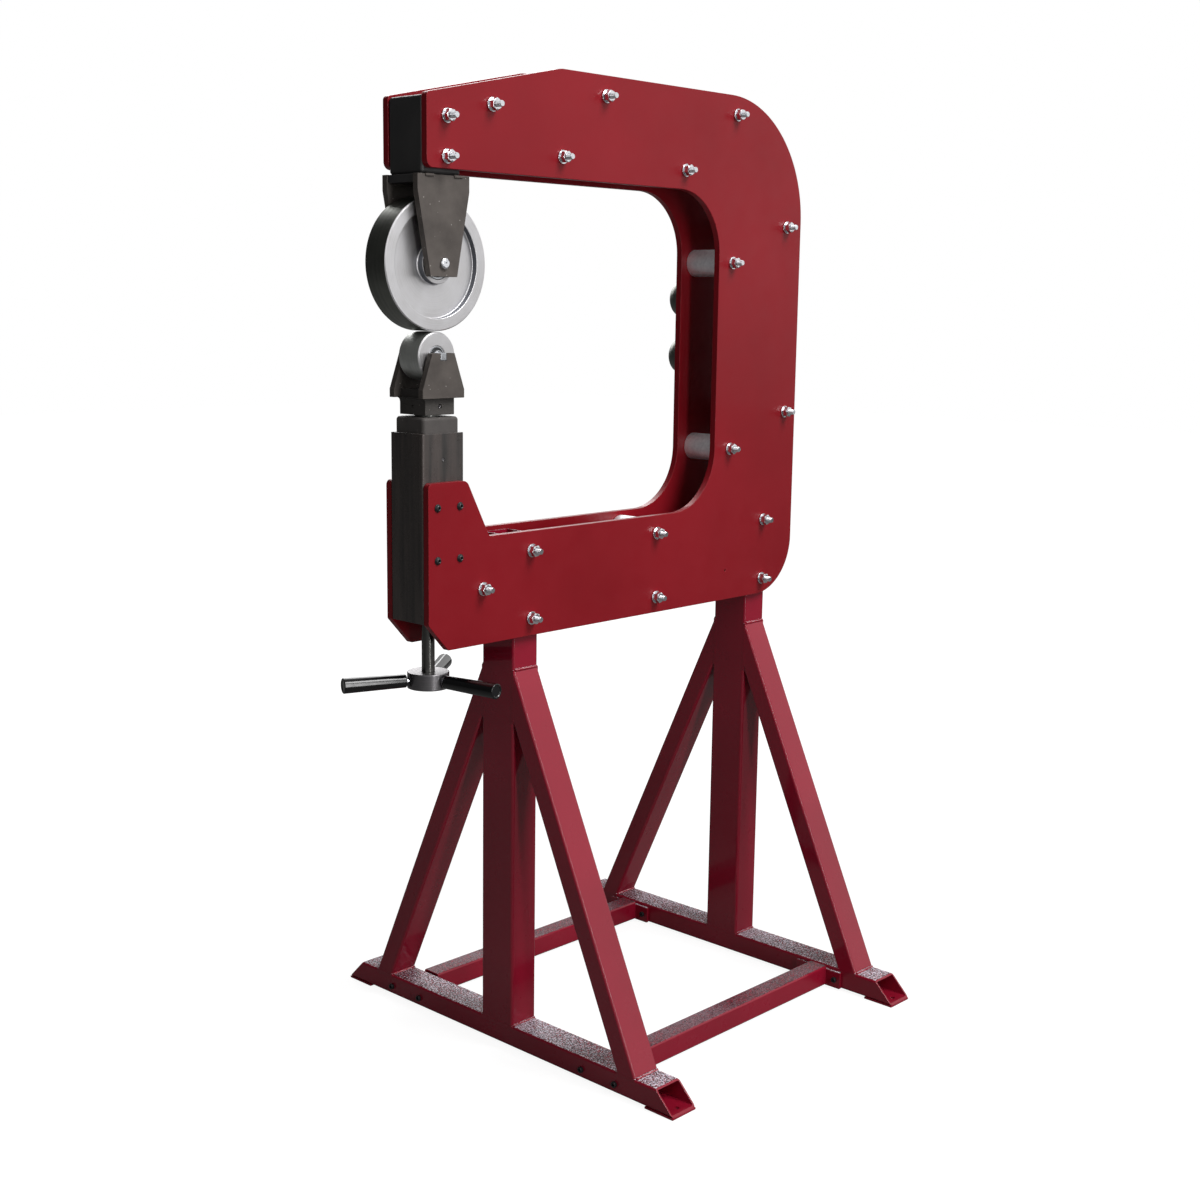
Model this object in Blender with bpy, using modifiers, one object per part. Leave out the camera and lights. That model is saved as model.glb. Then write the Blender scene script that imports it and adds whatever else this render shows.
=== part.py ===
"""English wheel: a sheet metal forming machine with a twin-plate C-frame on a tube stand.

Frame used in this file: X runs back from the open end of the C-frame, Y is the wheels' axle direction
and Z is up from the floor. One empty shifts the whole machine, so that the world origin lies on the
floor at the middle of the machine's bounding box. Metres.
"""
import math

import bmesh
import bpy
from mathutils import Matrix, Vector

for leftover in list(bpy.data.objects):
    bpy.data.objects.remove(leftover, do_unlink=True)

# Gaps
FIT_GAP = 0.0003  # between pieces that touch
RUN_GAP = 0.0003  # round a piece that turns or slides
CUT_OVER = 0.003  # how far a cutter overruns a face
WELD_LENGTH = 0.000002  # merge distance for a curve's caps

# C-frame side plates
PLATE_THICKNESS = 0.012
FRAME_SPACING = 0.0768  # between the plates' inner faces
FRAME_DEPTH = 0.928
FRAME_BOTTOM_Z = 0.7255
LOWER_ARM_HEIGHT = 0.1745
THROAT_HEIGHT = 0.564
UPPER_ARM_HEIGHT = 0.1695
NOSE_HEIGHT = 0.108
PEAK_X = 0.283
THROAT_DEPTH = 0.6894
THROAT_RADIUS = 0.109
TOP_CORNER_RADIUS = 0.213
BOTTOM_CORNER_RADIUS = 0.103
NOSE_RADIUS = 0.008
NOSE_BOTTOM_RADIUS = 0.012
PEAK_RADIUS = 0.060
EAR_HEIGHT = 0.092
EAR_LENGTH = 0.0807
EAR_SLOPE_LENGTH = 0.048
EAR_FRONT_RADIUS = 0.009
EAR_BACK_RADIUS = 0.014
TOE_CHAMFER_LENGTH = 0.0404
TOE_CHAMFER_HEIGHT = 0.0438
SMALL_CORNER_RADIUS = 0.004

# Frame bolts and spacers
BOLT_RADIUS = 0.005
BOLT_HOLE_GAP = 0.0004
BOLT_HEAD_ACROSS = 0.017
BOLT_HEAD_HEIGHT = 0.0068
BOLT_END_LENGTH = 0.011  # thread left standing past the nut
NUT_ACROSS = 0.017
NUT_HEIGHT = 0.010
WASHER_RADIUS = 0.011
WASHER_THICKNESS = 0.0024
SPACER_RADIUS = 0.02415

# Bolt places: shares of the lengths that each group follows
upper_arm_bolt_shares = [(0.1915, 0.596), (0.416, 0.198), (0.562, 0.805), (0.858, 0.189)]
rear_corner_bolt_shares = (0.7867, 0.802)  # of the frame's depth and of the upper arm's height
column_bolt_shares = [(0.814, 0.9055), (0.158, 0.784), (0.860, 0.300), (0.177, 0.190)]
sleeve_bolt_z_share = 0.519
lower_arm_bolt_shares = [(0.7737, 0.8195), (0.7737, 0.1616)]
post_bolt_z_shares = [0.815, 0.169]
SLEEVE_SPACER_GAP = 0.0056  # between the sleeve and the spacer behind it
head_block_bolt_z_shares = [0.741, 0.208]

# Head block and fork
HEAD_BLOCK_LENGTH = 0.078
HEAD_BLOCK_HEIGHT = 0.1106
HEAD_BLOCK_DROP = 0.005  # how far it hangs below the plates
HEAD_BLOCK_SETBACK = 0.0006
HEAD_BLOCK_EDGE = 0.005
FORK_TOP_THICKNESS = 0.012
FORK_ARM_THICKNESS = 0.011
FORK_GAP = 0.060  # between the arms
FORK_TOP_LENGTH = 0.104
FORK_TIP_LENGTH = 0.0535
FORK_SHOULDER_HEIGHT = 0.0235  # straight part at the top of an arm
FORK_TAIL = 0.0195  # below the axle
AXLE_DROP = 0.1344  # axle below the fork's top face
FORK_SCREW_RADIUS = 0.004
FORK_SCREW_HEAD_RADIUS = 0.0065
FORK_SCREW_HEAD_HEIGHT = 0.008
FORK_SCREW_DEPTH = 0.012  # into the head block
fork_screw_place_shares = (0.30, 0.28)

# Upper wheel, its bearings and its axle
WHEEL_RADIUS = 0.1016
WHEEL_WIDTH = 0.048
WHEEL_RECESS_RADIUS = 0.0828
WHEEL_RECESS_DEPTH = 0.009
WHEEL_RECESS_FILLET = 0.003
WHEEL_EDGE = 0.0012
WHEEL_BOSS_RADIUS = 0.036
WHEEL_BOSS_STAND = 0.0025
BEARING_RADIUS = 0.0235
BEARING_WIDTH = 0.014
BEARING_STEP = 0.003
AXLE_RADIUS = 0.010
BEARING_NOSE_RADIUS = 0.0145
AXLE_BOLT_RADIUS = 0.005
AXLE_HEAD_RADIUS = 0.0085
AXLE_HEAD_HEIGHT = 0.005
AXLE_NUT_HEIGHT = 0.008

# Anvil wheel, its bearings and its shaft
ANVIL_RADIUS = 0.0381
ANVIL_WIDTH = 0.048
ANVIL_CROWN = 0.0008
ANVIL_EDGE = 0.0015
ANVIL_RECESS_DEPTH = 0.0006
WHEEL_NIP = 0.0004  # gap between the two wheels at rest
ANVIL_BEARING_RADIUS = 0.016
ANVIL_BEARING_WIDTH = 0.009
ANVIL_BEARING_STEP = 0.002
ANVIL_SHAFT_RADIUS = 0.0075
ANVIL_FLAT_WIDTH = 0.012
ANVIL_BEARING_NOSE_RADIUS = 0.0095

# Cradle
CRADLE_GAP = 0.057
ANVIL_SIDE_GAP = 0.0009  # between a bearing's inner race and a cheek
CHEEK_THICKNESS = 0.011
CHEEK_LENGTH = 0.085
CHEEK_TOP_LENGTH = 0.045
CHEEK_HEIGHT = 0.069
CHEEK_BAND = 0.013
CHEEK_TOP_ABOVE_AXIS = 0.0055
CRADLE_BLOCK_LENGTH = 0.0595
CRADLE_BLOCK_WIDTH = 0.060
CRADLE_BLOCK_DROP = 0.026  # below the cheeks
CRADLE_BLOCK_RISE = 0.013  # between the cheeks
CRADLE_HOLE_RADIUS = 0.004
CRADLE_HOLE_DEPTH = 0.010
SPIGOT_RADIUS = 0.020
SPIGOT_STAND = 0.003

# Ram, sleeve and adjusting screw
SLEEVE_FRONT_STAND = 0.0005  # ahead of the plates' front edge
SLEEVE_LENGTH = 0.085  # front to back
SLEEVE_END_WALL = 0.0055
SLEEVE_SIDE_WALL = 0.0035
SLEEVE_CORNER = 0.003
SLEEVE_STAND = 0.075  # above the plates' ears
SLEEVE_BOTTOM_INSET = 0.0445  # above the plates' bottom edge
SLEEVE_BASE_THICKNESS = 0.012
SLEEVE_PIN_HOLE_RADIUS = 0.0024
SLEEVE_PIN_HOLE_DROP = 0.041
RAM_CORNER = 0.0065
RAM_TOP_EDGE = 0.003
RAM_LENGTH = 0.225
RAM_TOP_WALL = 0.012
RAM_SIDE_WALL = 0.006
RAM_TRAVEL = 0.050
RAM_NUT_HEIGHT = 0.030
SCREW_RADIUS = 0.012
SCREW_CLEAR_OF_CAP = 0.006
COLLAR_RADIUS = 0.021
COLLAR_HEIGHT = 0.012
SLEEVE_SCREW_RADIUS = 0.003
SLEEVE_SCREW_HEAD_RADIUS = 0.0064
SLEEVE_SCREW_HEAD_HEIGHT = 0.004
SLEEVE_SCREW_SPACING_X = 0.0465
SLEEVE_SCREW_TOP_DROP = 0.039  # from the ear's top edge
SLEEVE_SCREW_SPACING_Z = 0.0822

# Hub and handles
HUB_DROP = 0.0409  # hub's top below the plates' bottom edge
HUB_RADIUS = 0.0338
HUB_HEIGHT = 0.0265
HUB_EDGE = 0.0012
HUB_SET_SCREW_RADIUS = 0.003
HANDLE_COUNT = 3
HANDLE_FIRST_ANGLE = 37.7  # degrees from +X towards +Y
HANDLE_REACH = 0.1414  # from the screw's axis to a grip's outer end
GRIP_START = 0.0378
GRIP_INNER_RADIUS = 0.0107
GRIP_OUTER_RADIUS = 0.0125
GRIP_EDGE = 0.0012
GRIP_CUP_RADIUS = 0.0085
GRIP_CUP_DEPTH = 0.0012
GRIP_BORE_LENGTH = 0.070
HANDLE_ROD_RADIUS = 0.005
HANDLE_ROD_SOCKET = 0.014

# Stand
PAD_THICKNESS = 0.0035
PAD_LENGTH = 0.060
TUBE_WALL = 0.003
POST_WIDTH = 0.057  # along X
POST_CORNER = 0.005
BEAM_HEIGHT = 0.038
BEAM_HALF_LENGTH = 0.4042
BEAM_END_ANGLE = 45
FRONT_POST_X = 0.223
REAR_POST_INSET = 0.0905  # from the plates' rear edge
POST_TOP_INSET = 0.0075  # below the lower arm's top edge
BRACE_DEPTH = 0.038
BRACE_FOOT_INSET = 0.0806  # from the beam's end
BRACE_TOP_DROP = 0.0575  # below the plates' bottom edge
RAIL_SIZE = 0.038
RAIL_CORNER = 0.004
RAIL_INSET = 0.1622  # from the beam's end
FLANGE_LENGTH = 0.101
FLANGE_HEIGHT = 0.032
FLANGE_THICKNESS = 0.005
FLANGE_SCREW_SPACING = 0.0755
RAIL_SCREW_RADIUS = 0.003
RAIL_SCREW_HEAD_RADIUS = 0.0052
RAIL_SCREW_HEAD_HEIGHT = 0.005
RAIL_NUT_RADIUS = 0.0058
RAIL_NUT_HEIGHT = 0.005
ANCHOR_HOLE_RADIUS = 0.0048
ANCHOR_HOLE_INSET = 0.0165

# Spare anvils on the far side plate
SPARE_X_SHARE = 0.30  # of the column's depth, from the throat
spare_z_shares = [0.6695, 0.4835]
SPARE_CROWN = 0.0085
PEG_RADIUS = 0.0070
PEG_SHOULDER_RADIUS = 0.012
PEG_SHOULDER_LENGTH = 0.003
PEG_KNOB_RADIUS = 0.012
PEG_KNOB_LENGTH = 0.009

# Facets
LARGE_ARC_STEP = 10.0  # degrees between the points of an arc
SMALL_ARC_STEP = 30.0
LARGE_ARC_RADIUS = 0.020
WHEEL_SEGMENTS = 48
ANVIL_SEGMENTS = 32
TURNED_SEGMENTS = 24
BEARING_SEGMENTS = 16
SMALL_SEGMENTS = 10
BOLT_SEGMENTS = 8
SMOOTH_ANGLE = 30.0  # edges sharper than this stay crisp
EDGE_ANGLE = 40.0  # edges sharper than this are bevelled
RIM_ANGLE = 60.0

# Worked-out sizes
PLATE_INNER_Y = FRAME_SPACING / 2
PLATE_OUTER_Y = PLATE_INNER_Y + PLATE_THICKNESS
BETWEEN_PLATES = FRAME_SPACING - 2 * FIT_GAP
LOWER_ARM_TOP_Z = FRAME_BOTTOM_Z + LOWER_ARM_HEIGHT
EAR_TOP_Z = LOWER_ARM_TOP_Z + EAR_HEIGHT
THROAT_TOP_Z = LOWER_ARM_TOP_Z + THROAT_HEIGHT
FRAME_TOP_Z = THROAT_TOP_Z + UPPER_ARM_HEIGHT
COLUMN_DEPTH = FRAME_DEPTH - THROAT_DEPTH
AXIS_X = SLEEVE_LENGTH / 2 - SLEEVE_FRONT_STAND
HEAD_BLOCK_BOTTOM_Z = THROAT_TOP_Z - HEAD_BLOCK_DROP
HEAD_BLOCK_X = HEAD_BLOCK_SETBACK + HEAD_BLOCK_LENGTH / 2
FORK_TOP_Z = HEAD_BLOCK_BOTTOM_Z - FIT_GAP
WHEEL_Z = FORK_TOP_Z - AXLE_DROP
ANVIL_Z = WHEEL_Z - WHEEL_RADIUS - WHEEL_NIP - ANVIL_RADIUS
CHEEK_TOP_Z = ANVIL_Z + CHEEK_TOP_ABOVE_AXIS
CHEEK_BOTTOM_Z = CHEEK_TOP_Z - CHEEK_HEIGHT
CRADLE_BOTTOM_Z = CHEEK_BOTTOM_Z - CRADLE_BLOCK_DROP
RAM_TOP_Z = CRADLE_BOTTOM_Z - SPIGOT_STAND
RAM_BOTTOM_Z = RAM_TOP_Z - RAM_LENGTH
SLEEVE_TOP_Z = EAR_TOP_Z + SLEEVE_STAND
SLEEVE_BOTTOM_Z = FRAME_BOTTOM_Z + SLEEVE_BOTTOM_INSET
SLEEVE_BORE_LENGTH = SLEEVE_LENGTH - 2 * SLEEVE_END_WALL
SLEEVE_BORE_WIDTH = BETWEEN_PLATES - 2 * SLEEVE_SIDE_WALL
RAM_FRONT_TO_BACK = SLEEVE_BORE_LENGTH - 2 * RUN_GAP
RAM_WIDTH = SLEEVE_BORE_WIDTH - 2 * RUN_GAP
RAM_BORE = RAM_WIDTH - 2 * RAM_SIDE_WALL
SLEEVE_BASE_TOP_Z = SLEEVE_BOTTOM_Z + SLEEVE_BASE_THICKNESS
SCREW_TOP_Z = RAM_TOP_Z - RAM_TOP_WALL - RAM_TRAVEL - SCREW_CLEAR_OF_CAP
HUB_TOP_Z = FRAME_BOTTOM_Z - HUB_DROP
HUB_BOTTOM_Z = HUB_TOP_Z - HUB_HEIGHT
HANDLE_Z = HUB_TOP_Z - HUB_HEIGHT / 2
REAR_POST_X = FRAME_DEPTH - REAR_POST_INSET
BEAM_TOP_Z = PAD_THICKNESS + BEAM_HEIGHT
BEAM_MID_Z = PAD_THICKNESS + BEAM_HEIGHT / 2
BRACE_FOOT_Y = BEAM_HALF_LENGTH - BRACE_FOOT_INSET
BRACE_TOP_Z = FRAME_BOTTOM_Z - BRACE_TOP_DROP
RAIL_Y = BEAM_HALF_LENGTH - RAIL_INSET
ANCHOR_Y = BEAM_HALF_LENGTH - ANCHOR_HOLE_INSET
POST_BASE_Z = BEAM_TOP_Z + FIT_GAP
POST_TOP_Z = LOWER_ARM_TOP_Z - POST_TOP_INSET
RAIL_Z = PAD_THICKNESS + RAIL_SIZE / 2
FLANGE_Z = PAD_THICKNESS + FLANGE_HEIGHT / 2


def handle_angle(index):
    return math.radians(HANDLE_FIRST_ANGLE) + index * math.tau / HANDLE_COUNT


def front_reach():
    """Lowest X of the machine: a grip's outer rim, the wheel's rim or the plates' edge."""
    lows = [0.0, AXIS_X - WHEEL_RADIUS]
    for index in range(HANDLE_COUNT):
        along, across = math.cos(handle_angle(index)), abs(math.sin(handle_angle(index)))
        lows.append(AXIS_X + HANDLE_REACH * along - (GRIP_OUTER_RADIUS - GRIP_EDGE) * across)
        lows.append(AXIS_X + (HANDLE_REACH - GRIP_EDGE) * along - GRIP_OUTER_RADIUS * across)
    return min(lows)


ORIGIN_X = (front_reach() + FRAME_DEPTH) / 2

# Collections, empties and materials
PARTS = bpy.data.collections.new("english_wheel")
CUTTERS = bpy.data.collections.new("cutters")
bpy.context.scene.collection.children.link(PARTS)
bpy.context.scene.collection.children.link(CUTTERS)

UPRIGHT = Matrix.Rotation(math.radians(90), 4, "X")  # an outline's second axis becomes +Z
ALONG_Y = Matrix.Rotation(math.radians(-90), 4, "X")  # local Z becomes +Y
ALONG_X = Matrix.Rotation(math.radians(90), 4, "Y")  # local Z becomes +X
AS_IS = Matrix.Identity(4)


def empty(name, place, parent=None):
    """An empty at a place in the machine's own frame."""
    pivot = bpy.data.objects.new(name, None)
    pivot.empty_display_size = WHEEL_RADIUS
    PARTS.objects.link(pivot)
    pivot["place"] = place
    if parent is None:
        pivot.location = (-ORIGIN_X, 0, 0)
    else:
        pivot.parent = parent
        pivot.location = Vector(place) - Vector(parent["place"])
    return pivot


MACHINE = empty("machine", (0, 0, 0))
WHEEL_PIVOT = empty("upper_wheel_axis", (AXIS_X, 0, WHEEL_Z), MACHINE)
RAM_SLIDE = empty("ram_slide", (AXIS_X, 0, RAM_TOP_Z), MACHINE)
ANVIL_PIVOT = empty("anvil_axis", (AXIS_X, 0, ANVIL_Z), RAM_SLIDE)
SCREW_PIVOT = empty("hand_screw_axis", (AXIS_X, 0, HANDLE_Z), MACHINE)


def material(name, colour, roughness, metallic):
    finish = bpy.data.materials.new(name)
    finish.use_nodes = True
    shader = finish.node_tree.nodes["Principled BSDF"]
    shader.inputs["Base Color"].default_value = (*colour, 1.0)
    shader.inputs["Roughness"].default_value = roughness
    shader.inputs["Metallic"].default_value = metallic
    finish.diffuse_color = (*colour, 1.0)
    return finish


RED_PAINT = material("red_paint", (0.26, 0.012, 0.022), 0.35, 0.0)
BLACK_STEEL = material("black_steel", (0.035, 0.035, 0.037), 0.45, 0.7)
GREY_STEEL = material("grey_steel", (0.16, 0.16, 0.16), 0.45, 0.9)
BRIGHT_STEEL = material("bright_steel", (0.62, 0.62, 0.63), 0.25, 1.0)
ZINC = material("zinc", (0.70, 0.70, 0.72), 0.22, 1.0)
BRONZE = material("bronze", (0.45, 0.27, 0.10), 0.35, 1.0)
BLACK_PLASTIC = material("black_plastic", (0.012, 0.012, 0.013), 0.18, 0.0)


def seat(thing, place, turn, under):
    """Puts an object at a place and turn given in the machine's own frame."""
    thing.parent = under
    thing.location = Vector(place) - Vector(under["place"])
    thing.rotation_euler = turn.to_euler()


def add(name, mesh, finish, place=(0, 0, 0), turn=AS_IS, under=MACHINE, smooth=True):
    mesh.name = name
    piece = bpy.data.objects.new(name, mesh)
    PARTS.objects.link(piece)
    mesh.materials.clear()
    mesh.materials.append(finish)
    if smooth:
        mesh.shade_smooth()
        mesh.set_sharp_from_angle(angle=math.radians(SMOOTH_ANGLE))
    seat(piece, place, turn, under)
    return piece


def evaluated_mesh(thing):
    bpy.context.view_layer.update()
    graph = bpy.context.evaluated_depsgraph_get()
    return bpy.data.meshes.new_from_object(thing.evaluated_get(graph))


def welded(mesh):
    shape = bmesh.new()
    shape.from_mesh(mesh)
    bmesh.ops.remove_doubles(shape, verts=shape.verts, dist=WELD_LENGTH)
    bmesh.ops.recalc_face_normals(shape, faces=shape.faces)
    shape.to_mesh(mesh)
    shape.free()
    return mesh


def outline_mesh(loops, thickness):
    """A flat outline with its holes, as thick as given, about its own mid-plane."""
    curve = bpy.data.curves.new("outline", "CURVE")
    curve.dimensions = "2D"
    curve.fill_mode = "BOTH"
    curve.extrude = thickness / 2
    for loop in loops:
        spline = curve.splines.new("POLY")
        spline.points.add(len(loop) - 1)
        for point, (across, up) in zip(spline.points, loop):
            point.co = (across, up, 0, 1)
        spline.use_cyclic_u = True
    guide = bpy.data.objects.new("outline", curve)
    CUTTERS.objects.link(guide)
    mesh = welded(evaluated_mesh(guide))
    bpy.data.objects.remove(guide)
    return mesh


def circle(across, up, radius, segments):
    """Points of a circle with a corner at its highest point."""
    steps = [math.pi / 2 + math.tau * index / segments for index in range(segments)]
    return [(across + radius * math.cos(step), up + radius * math.sin(step)) for step in steps]


def rounded(corners):
    """Turns corners (across, up, radius) into an outline with arcs in place of the corners."""
    points = []
    for index, (across, up, radius) in enumerate(corners):
        step = LARGE_ARC_STEP if radius > LARGE_ARC_RADIUS else SMALL_ARC_STEP
        here = Vector((across, up))
        back = (Vector(corners[index - 1][:2]) - here).normalized()
        ahead = (Vector(corners[(index + 1) % len(corners)][:2]) - here).normalized()
        if radius == 0:
            points.append((across, up))
            continue
        half = back.angle(ahead) / 2
        centre = here + (back + ahead).normalized() * (radius / math.sin(half))
        start = here + back * (radius / math.tan(half)) - centre
        sweep = start.angle_signed(here + ahead * (radius / math.tan(half)) - centre)
        count = max(1, round(abs(math.degrees(sweep)) / step))
        for part in range(count + 1):
            turned = start.copy()
            turned.rotate(Matrix.Rotation(-sweep * part / count, 2))
            points.append(tuple(centre + turned))
    return points


def rounded_box_loop(width, height, radius):
    signs = ((-1, -1), (1, -1), (1, 1), (-1, 1))
    return rounded([(across * width / 2, up * height / 2, radius) for across, up in signs])


def tube_mesh(width, height, length, wall, corner):
    """A rectangular tube along Z, open at both ends."""
    inner_corner = max(corner - wall, corner / 4)
    outside = rounded_box_loop(width, height, corner)
    inside = rounded_box_loop(width - 2 * wall, height - 2 * wall, inner_corner)
    return outline_mesh([outside, inside], length)


def turned_piece(name, profile, finish, place, turn, under=MACHINE, segments=TURNED_SEGMENTS, closed=True):
    """A turned piece: its profile (radius, height) runs down its outer side, about local Z."""
    mesh = bpy.data.meshes.new(name)
    last = [(len(profile) - 1, 0)] if closed else []
    edges = [(index, index + 1) for index in range(len(profile) - 1)] + last
    mesh.from_pydata([(radius, 0, height) for radius, height in profile], edges, [])
    piece = add(name, mesh, finish, place, turn, under, smooth=False)
    screw = piece.modifiers.new("turn", "SCREW")
    screw.axis = "Z"
    screw.steps = segments
    screw.render_steps = segments
    screw.use_merge_vertices = True
    screw.merge_threshold = WELD_LENGTH
    screw.use_smooth_shade = True
    return piece


def turned_mesh(profile, segments=TURNED_SEGMENTS, closed=True):
    """The mesh of a turned piece about local Z, for joining into a group."""
    guide = turned_piece("guide", profile, ZINC, (0, 0, 0), AS_IS, MACHINE, segments, closed)
    mesh = welded(evaluated_mesh(guide))
    bpy.data.objects.remove(guide)
    return mesh


def ring_profile(inner, outer, half):
    return [(outer, half), (outer, -half), (inner, -half), (inner, half)]


def box_mesh(length, width, height):
    shape = bmesh.new()
    bmesh.ops.create_cube(shape, size=1, matrix=Matrix.Diagonal((length, width, height, 1)))
    mesh = bpy.data.meshes.new("box")
    shape.to_mesh(mesh)
    shape.free()
    return mesh


def rod_mesh(radius, length, segments, turn=AS_IS):
    """A plain rod about local Z, before the turn."""
    shape = bmesh.new()
    spin = Matrix.Rotation(math.pi / segments, 4, "Z")
    bmesh.ops.create_cone(
        shape,
        cap_ends=True,
        segments=segments,
        radius1=radius,
        radius2=radius,
        depth=length,
        matrix=turn @ spin,
    )
    mesh = bpy.data.meshes.new("rod")
    shape.to_mesh(mesh)
    shape.free()
    return mesh


def facetted_hole(radius, segments):
    """Corner radius of a facetted hole whose flats stay outside the radius."""
    return radius / math.cos(math.pi / segments)


def drill_mesh(radius, length, segments, turn=AS_IS):
    """A rod that drills a hole for a round piece of the given radius."""
    return rod_mesh(facetted_hole(radius + FIT_GAP, segments), length, segments, turn)


def joined(meshes_and_matrices):
    """One mesh from copies of others, each moved by its matrix."""
    shape = bmesh.new()
    for mesh, matrix in meshes_and_matrices:
        before = len(shape.verts)
        shape.from_mesh(mesh)
        shape.verts.ensure_lookup_table()
        bmesh.ops.transform(shape, matrix=matrix, verts=shape.verts[before:])
    mesh = bpy.data.meshes.new("joined")
    shape.to_mesh(mesh)
    shape.free()
    return mesh


def at(across, depth, up):
    return Matrix.Translation((across, depth, up))


def boolean(piece, tool_mesh, operation, place=(0, 0, 0), turn=AS_IS, under=MACHINE):
    """Adds a Boolean modifier whose tool is a mesh placed in the machine's own frame."""
    tool = bpy.data.objects.new(piece.name + "_tool", tool_mesh)
    CUTTERS.objects.link(tool)
    tool.hide_render = True
    tool.display_type = "WIRE"
    seat(tool, place, turn, under)
    step = piece.modifiers.new(operation.lower(), "BOOLEAN")
    step.operation = operation
    step.solver = "EXACT"
    step.object = tool
    return step


def cut(piece, tool_mesh, place=(0, 0, 0), turn=AS_IS, under=MACHINE):
    return boolean(piece, tool_mesh, "DIFFERENCE", place, turn, under)


def bevelled(piece, width, segments=1, angle=EDGE_ANGLE):
    edge = piece.modifiers.new("edge", "BEVEL")
    edge.width = width
    edge.segments = segments
    edge.limit_method = "ANGLE"
    edge.angle_limit = math.radians(angle)
    return edge


# Bolt places in the plates


def bolt_groups():
    """Bolt places (X, Z): those that hold spacers, then those through the head block and the posts."""
    spaced = [
        (share * THROAT_DEPTH, THROAT_TOP_Z + up * UPPER_ARM_HEIGHT)
        for share, up in upper_arm_bolt_shares
    ]
    corner_share, corner_up = rear_corner_bolt_shares
    spaced.append((corner_share * FRAME_DEPTH, THROAT_TOP_Z + corner_up * UPPER_ARM_HEIGHT))
    spaced += [
        (THROAT_DEPTH + share * COLUMN_DEPTH, LOWER_ARM_TOP_Z + up * THROAT_HEIGHT)
        for share, up in column_bolt_shares
    ]
    sleeve_back = SLEEVE_LENGTH - SLEEVE_FRONT_STAND
    behind_sleeve = sleeve_back + SLEEVE_SPACER_GAP + SPACER_RADIUS
    spaced.append((behind_sleeve, FRAME_BOTTOM_Z + sleeve_bolt_z_share * LOWER_ARM_HEIGHT))
    spaced += [
        (share * THROAT_DEPTH, FRAME_BOTTOM_Z + up * LOWER_ARM_HEIGHT)
        for share, up in lower_arm_bolt_shares
    ]
    block = [
        (HEAD_BLOCK_X, HEAD_BLOCK_BOTTOM_Z + up * HEAD_BLOCK_HEIGHT)
        for up in head_block_bolt_z_shares
    ]
    front = [(FRONT_POST_X, FRAME_BOTTOM_Z + up * LOWER_ARM_HEIGHT) for up in post_bolt_z_shares]
    rear = [(REAR_POST_X, FRAME_BOTTOM_Z + up * LOWER_ARM_HEIGHT) for up in post_bolt_z_shares]
    return spaced, block, front, rear


SPACED_BOLTS, BLOCK_BOLTS, FRONT_POST_BOLTS, REAR_POST_BOLTS = bolt_groups()
PLAIN_BOLTS = BLOCK_BOLTS + FRONT_POST_BOLTS + REAR_POST_BOLTS
ALL_BOLTS = SPACED_BOLTS + PLAIN_BOLTS
BOLT_HOLE_RADIUS = facetted_hole(BOLT_RADIUS + BOLT_HOLE_GAP, BOLT_SEGMENTS)
SLEEVE_SCREWS = [
    (
        AXIS_X + side * SLEEVE_SCREW_SPACING_X / 2,
        EAR_TOP_Z - SLEEVE_SCREW_TOP_DROP - row * SLEEVE_SCREW_SPACING_Z,
    )
    for side in (-1, 1)
    for row in (0, 1)
]
SPARES = [
    (THROAT_DEPTH + SPARE_X_SHARE * COLUMN_DEPTH, LOWER_ARM_TOP_Z + share * THROAT_HEIGHT)
    for share in spare_z_shares
]


def hole_tools(places, radius, length, segments=BOLT_SEGMENTS):
    """One tool that drills holes along Y at places (X, Z)."""
    rod = rod_mesh(radius, length, segments, ALONG_Y)
    return joined([(rod, at(across, 0, up)) for across, up in places])


# C-frame side plates


def side_plate_outline():
    nose_top = THROAT_TOP_Z + NOSE_HEIGHT
    return rounded(
        [
            (0, THROAT_TOP_Z, NOSE_BOTTOM_RADIUS),
            (0, nose_top, NOSE_RADIUS),
            (PEAK_X, FRAME_TOP_Z, PEAK_RADIUS),
            (FRAME_DEPTH, FRAME_TOP_Z, TOP_CORNER_RADIUS),
            (FRAME_DEPTH, FRAME_BOTTOM_Z, BOTTOM_CORNER_RADIUS),
            (TOE_CHAMFER_LENGTH, FRAME_BOTTOM_Z, SMALL_CORNER_RADIUS),
            (0, FRAME_BOTTOM_Z + TOE_CHAMFER_HEIGHT, SMALL_CORNER_RADIUS),
            (0, EAR_TOP_Z, EAR_FRONT_RADIUS),
            (EAR_LENGTH, EAR_TOP_Z, EAR_BACK_RADIUS),
            (EAR_LENGTH + EAR_SLOPE_LENGTH, LOWER_ARM_TOP_Z, SMALL_CORNER_RADIUS),
            (THROAT_DEPTH, LOWER_ARM_TOP_Z, THROAT_RADIUS),
            (THROAT_DEPTH, THROAT_TOP_Z, THROAT_RADIUS),
        ]
    )


def make_side_plates():
    holes = [circle(across, up, BOLT_HOLE_RADIUS, BOLT_SEGMENTS) for across, up in ALL_BOLTS]
    screw_hole = facetted_hole(SLEEVE_SCREW_RADIUS + FIT_GAP, BOLT_SEGMENTS)
    holes += [circle(across, up, screw_hole, BOLT_SEGMENTS) for across, up in SLEEVE_SCREWS]
    peg_holes = [circle(across, up, BOLT_HOLE_RADIUS, BOLT_SEGMENTS) for across, up in SPARES]
    middle = PLATE_INNER_Y + PLATE_THICKNESS / 2
    for name, side, extra in (("right_side_plate", -1, []), ("left_side_plate", 1, peg_holes)):
        mesh = outline_mesh([side_plate_outline()] + holes + extra, PLATE_THICKNESS)
        add(name, mesh, RED_PAINT, (0, side * middle, 0), UPRIGHT)


# Frame bolts with their washers, nuts and spacers


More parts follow.
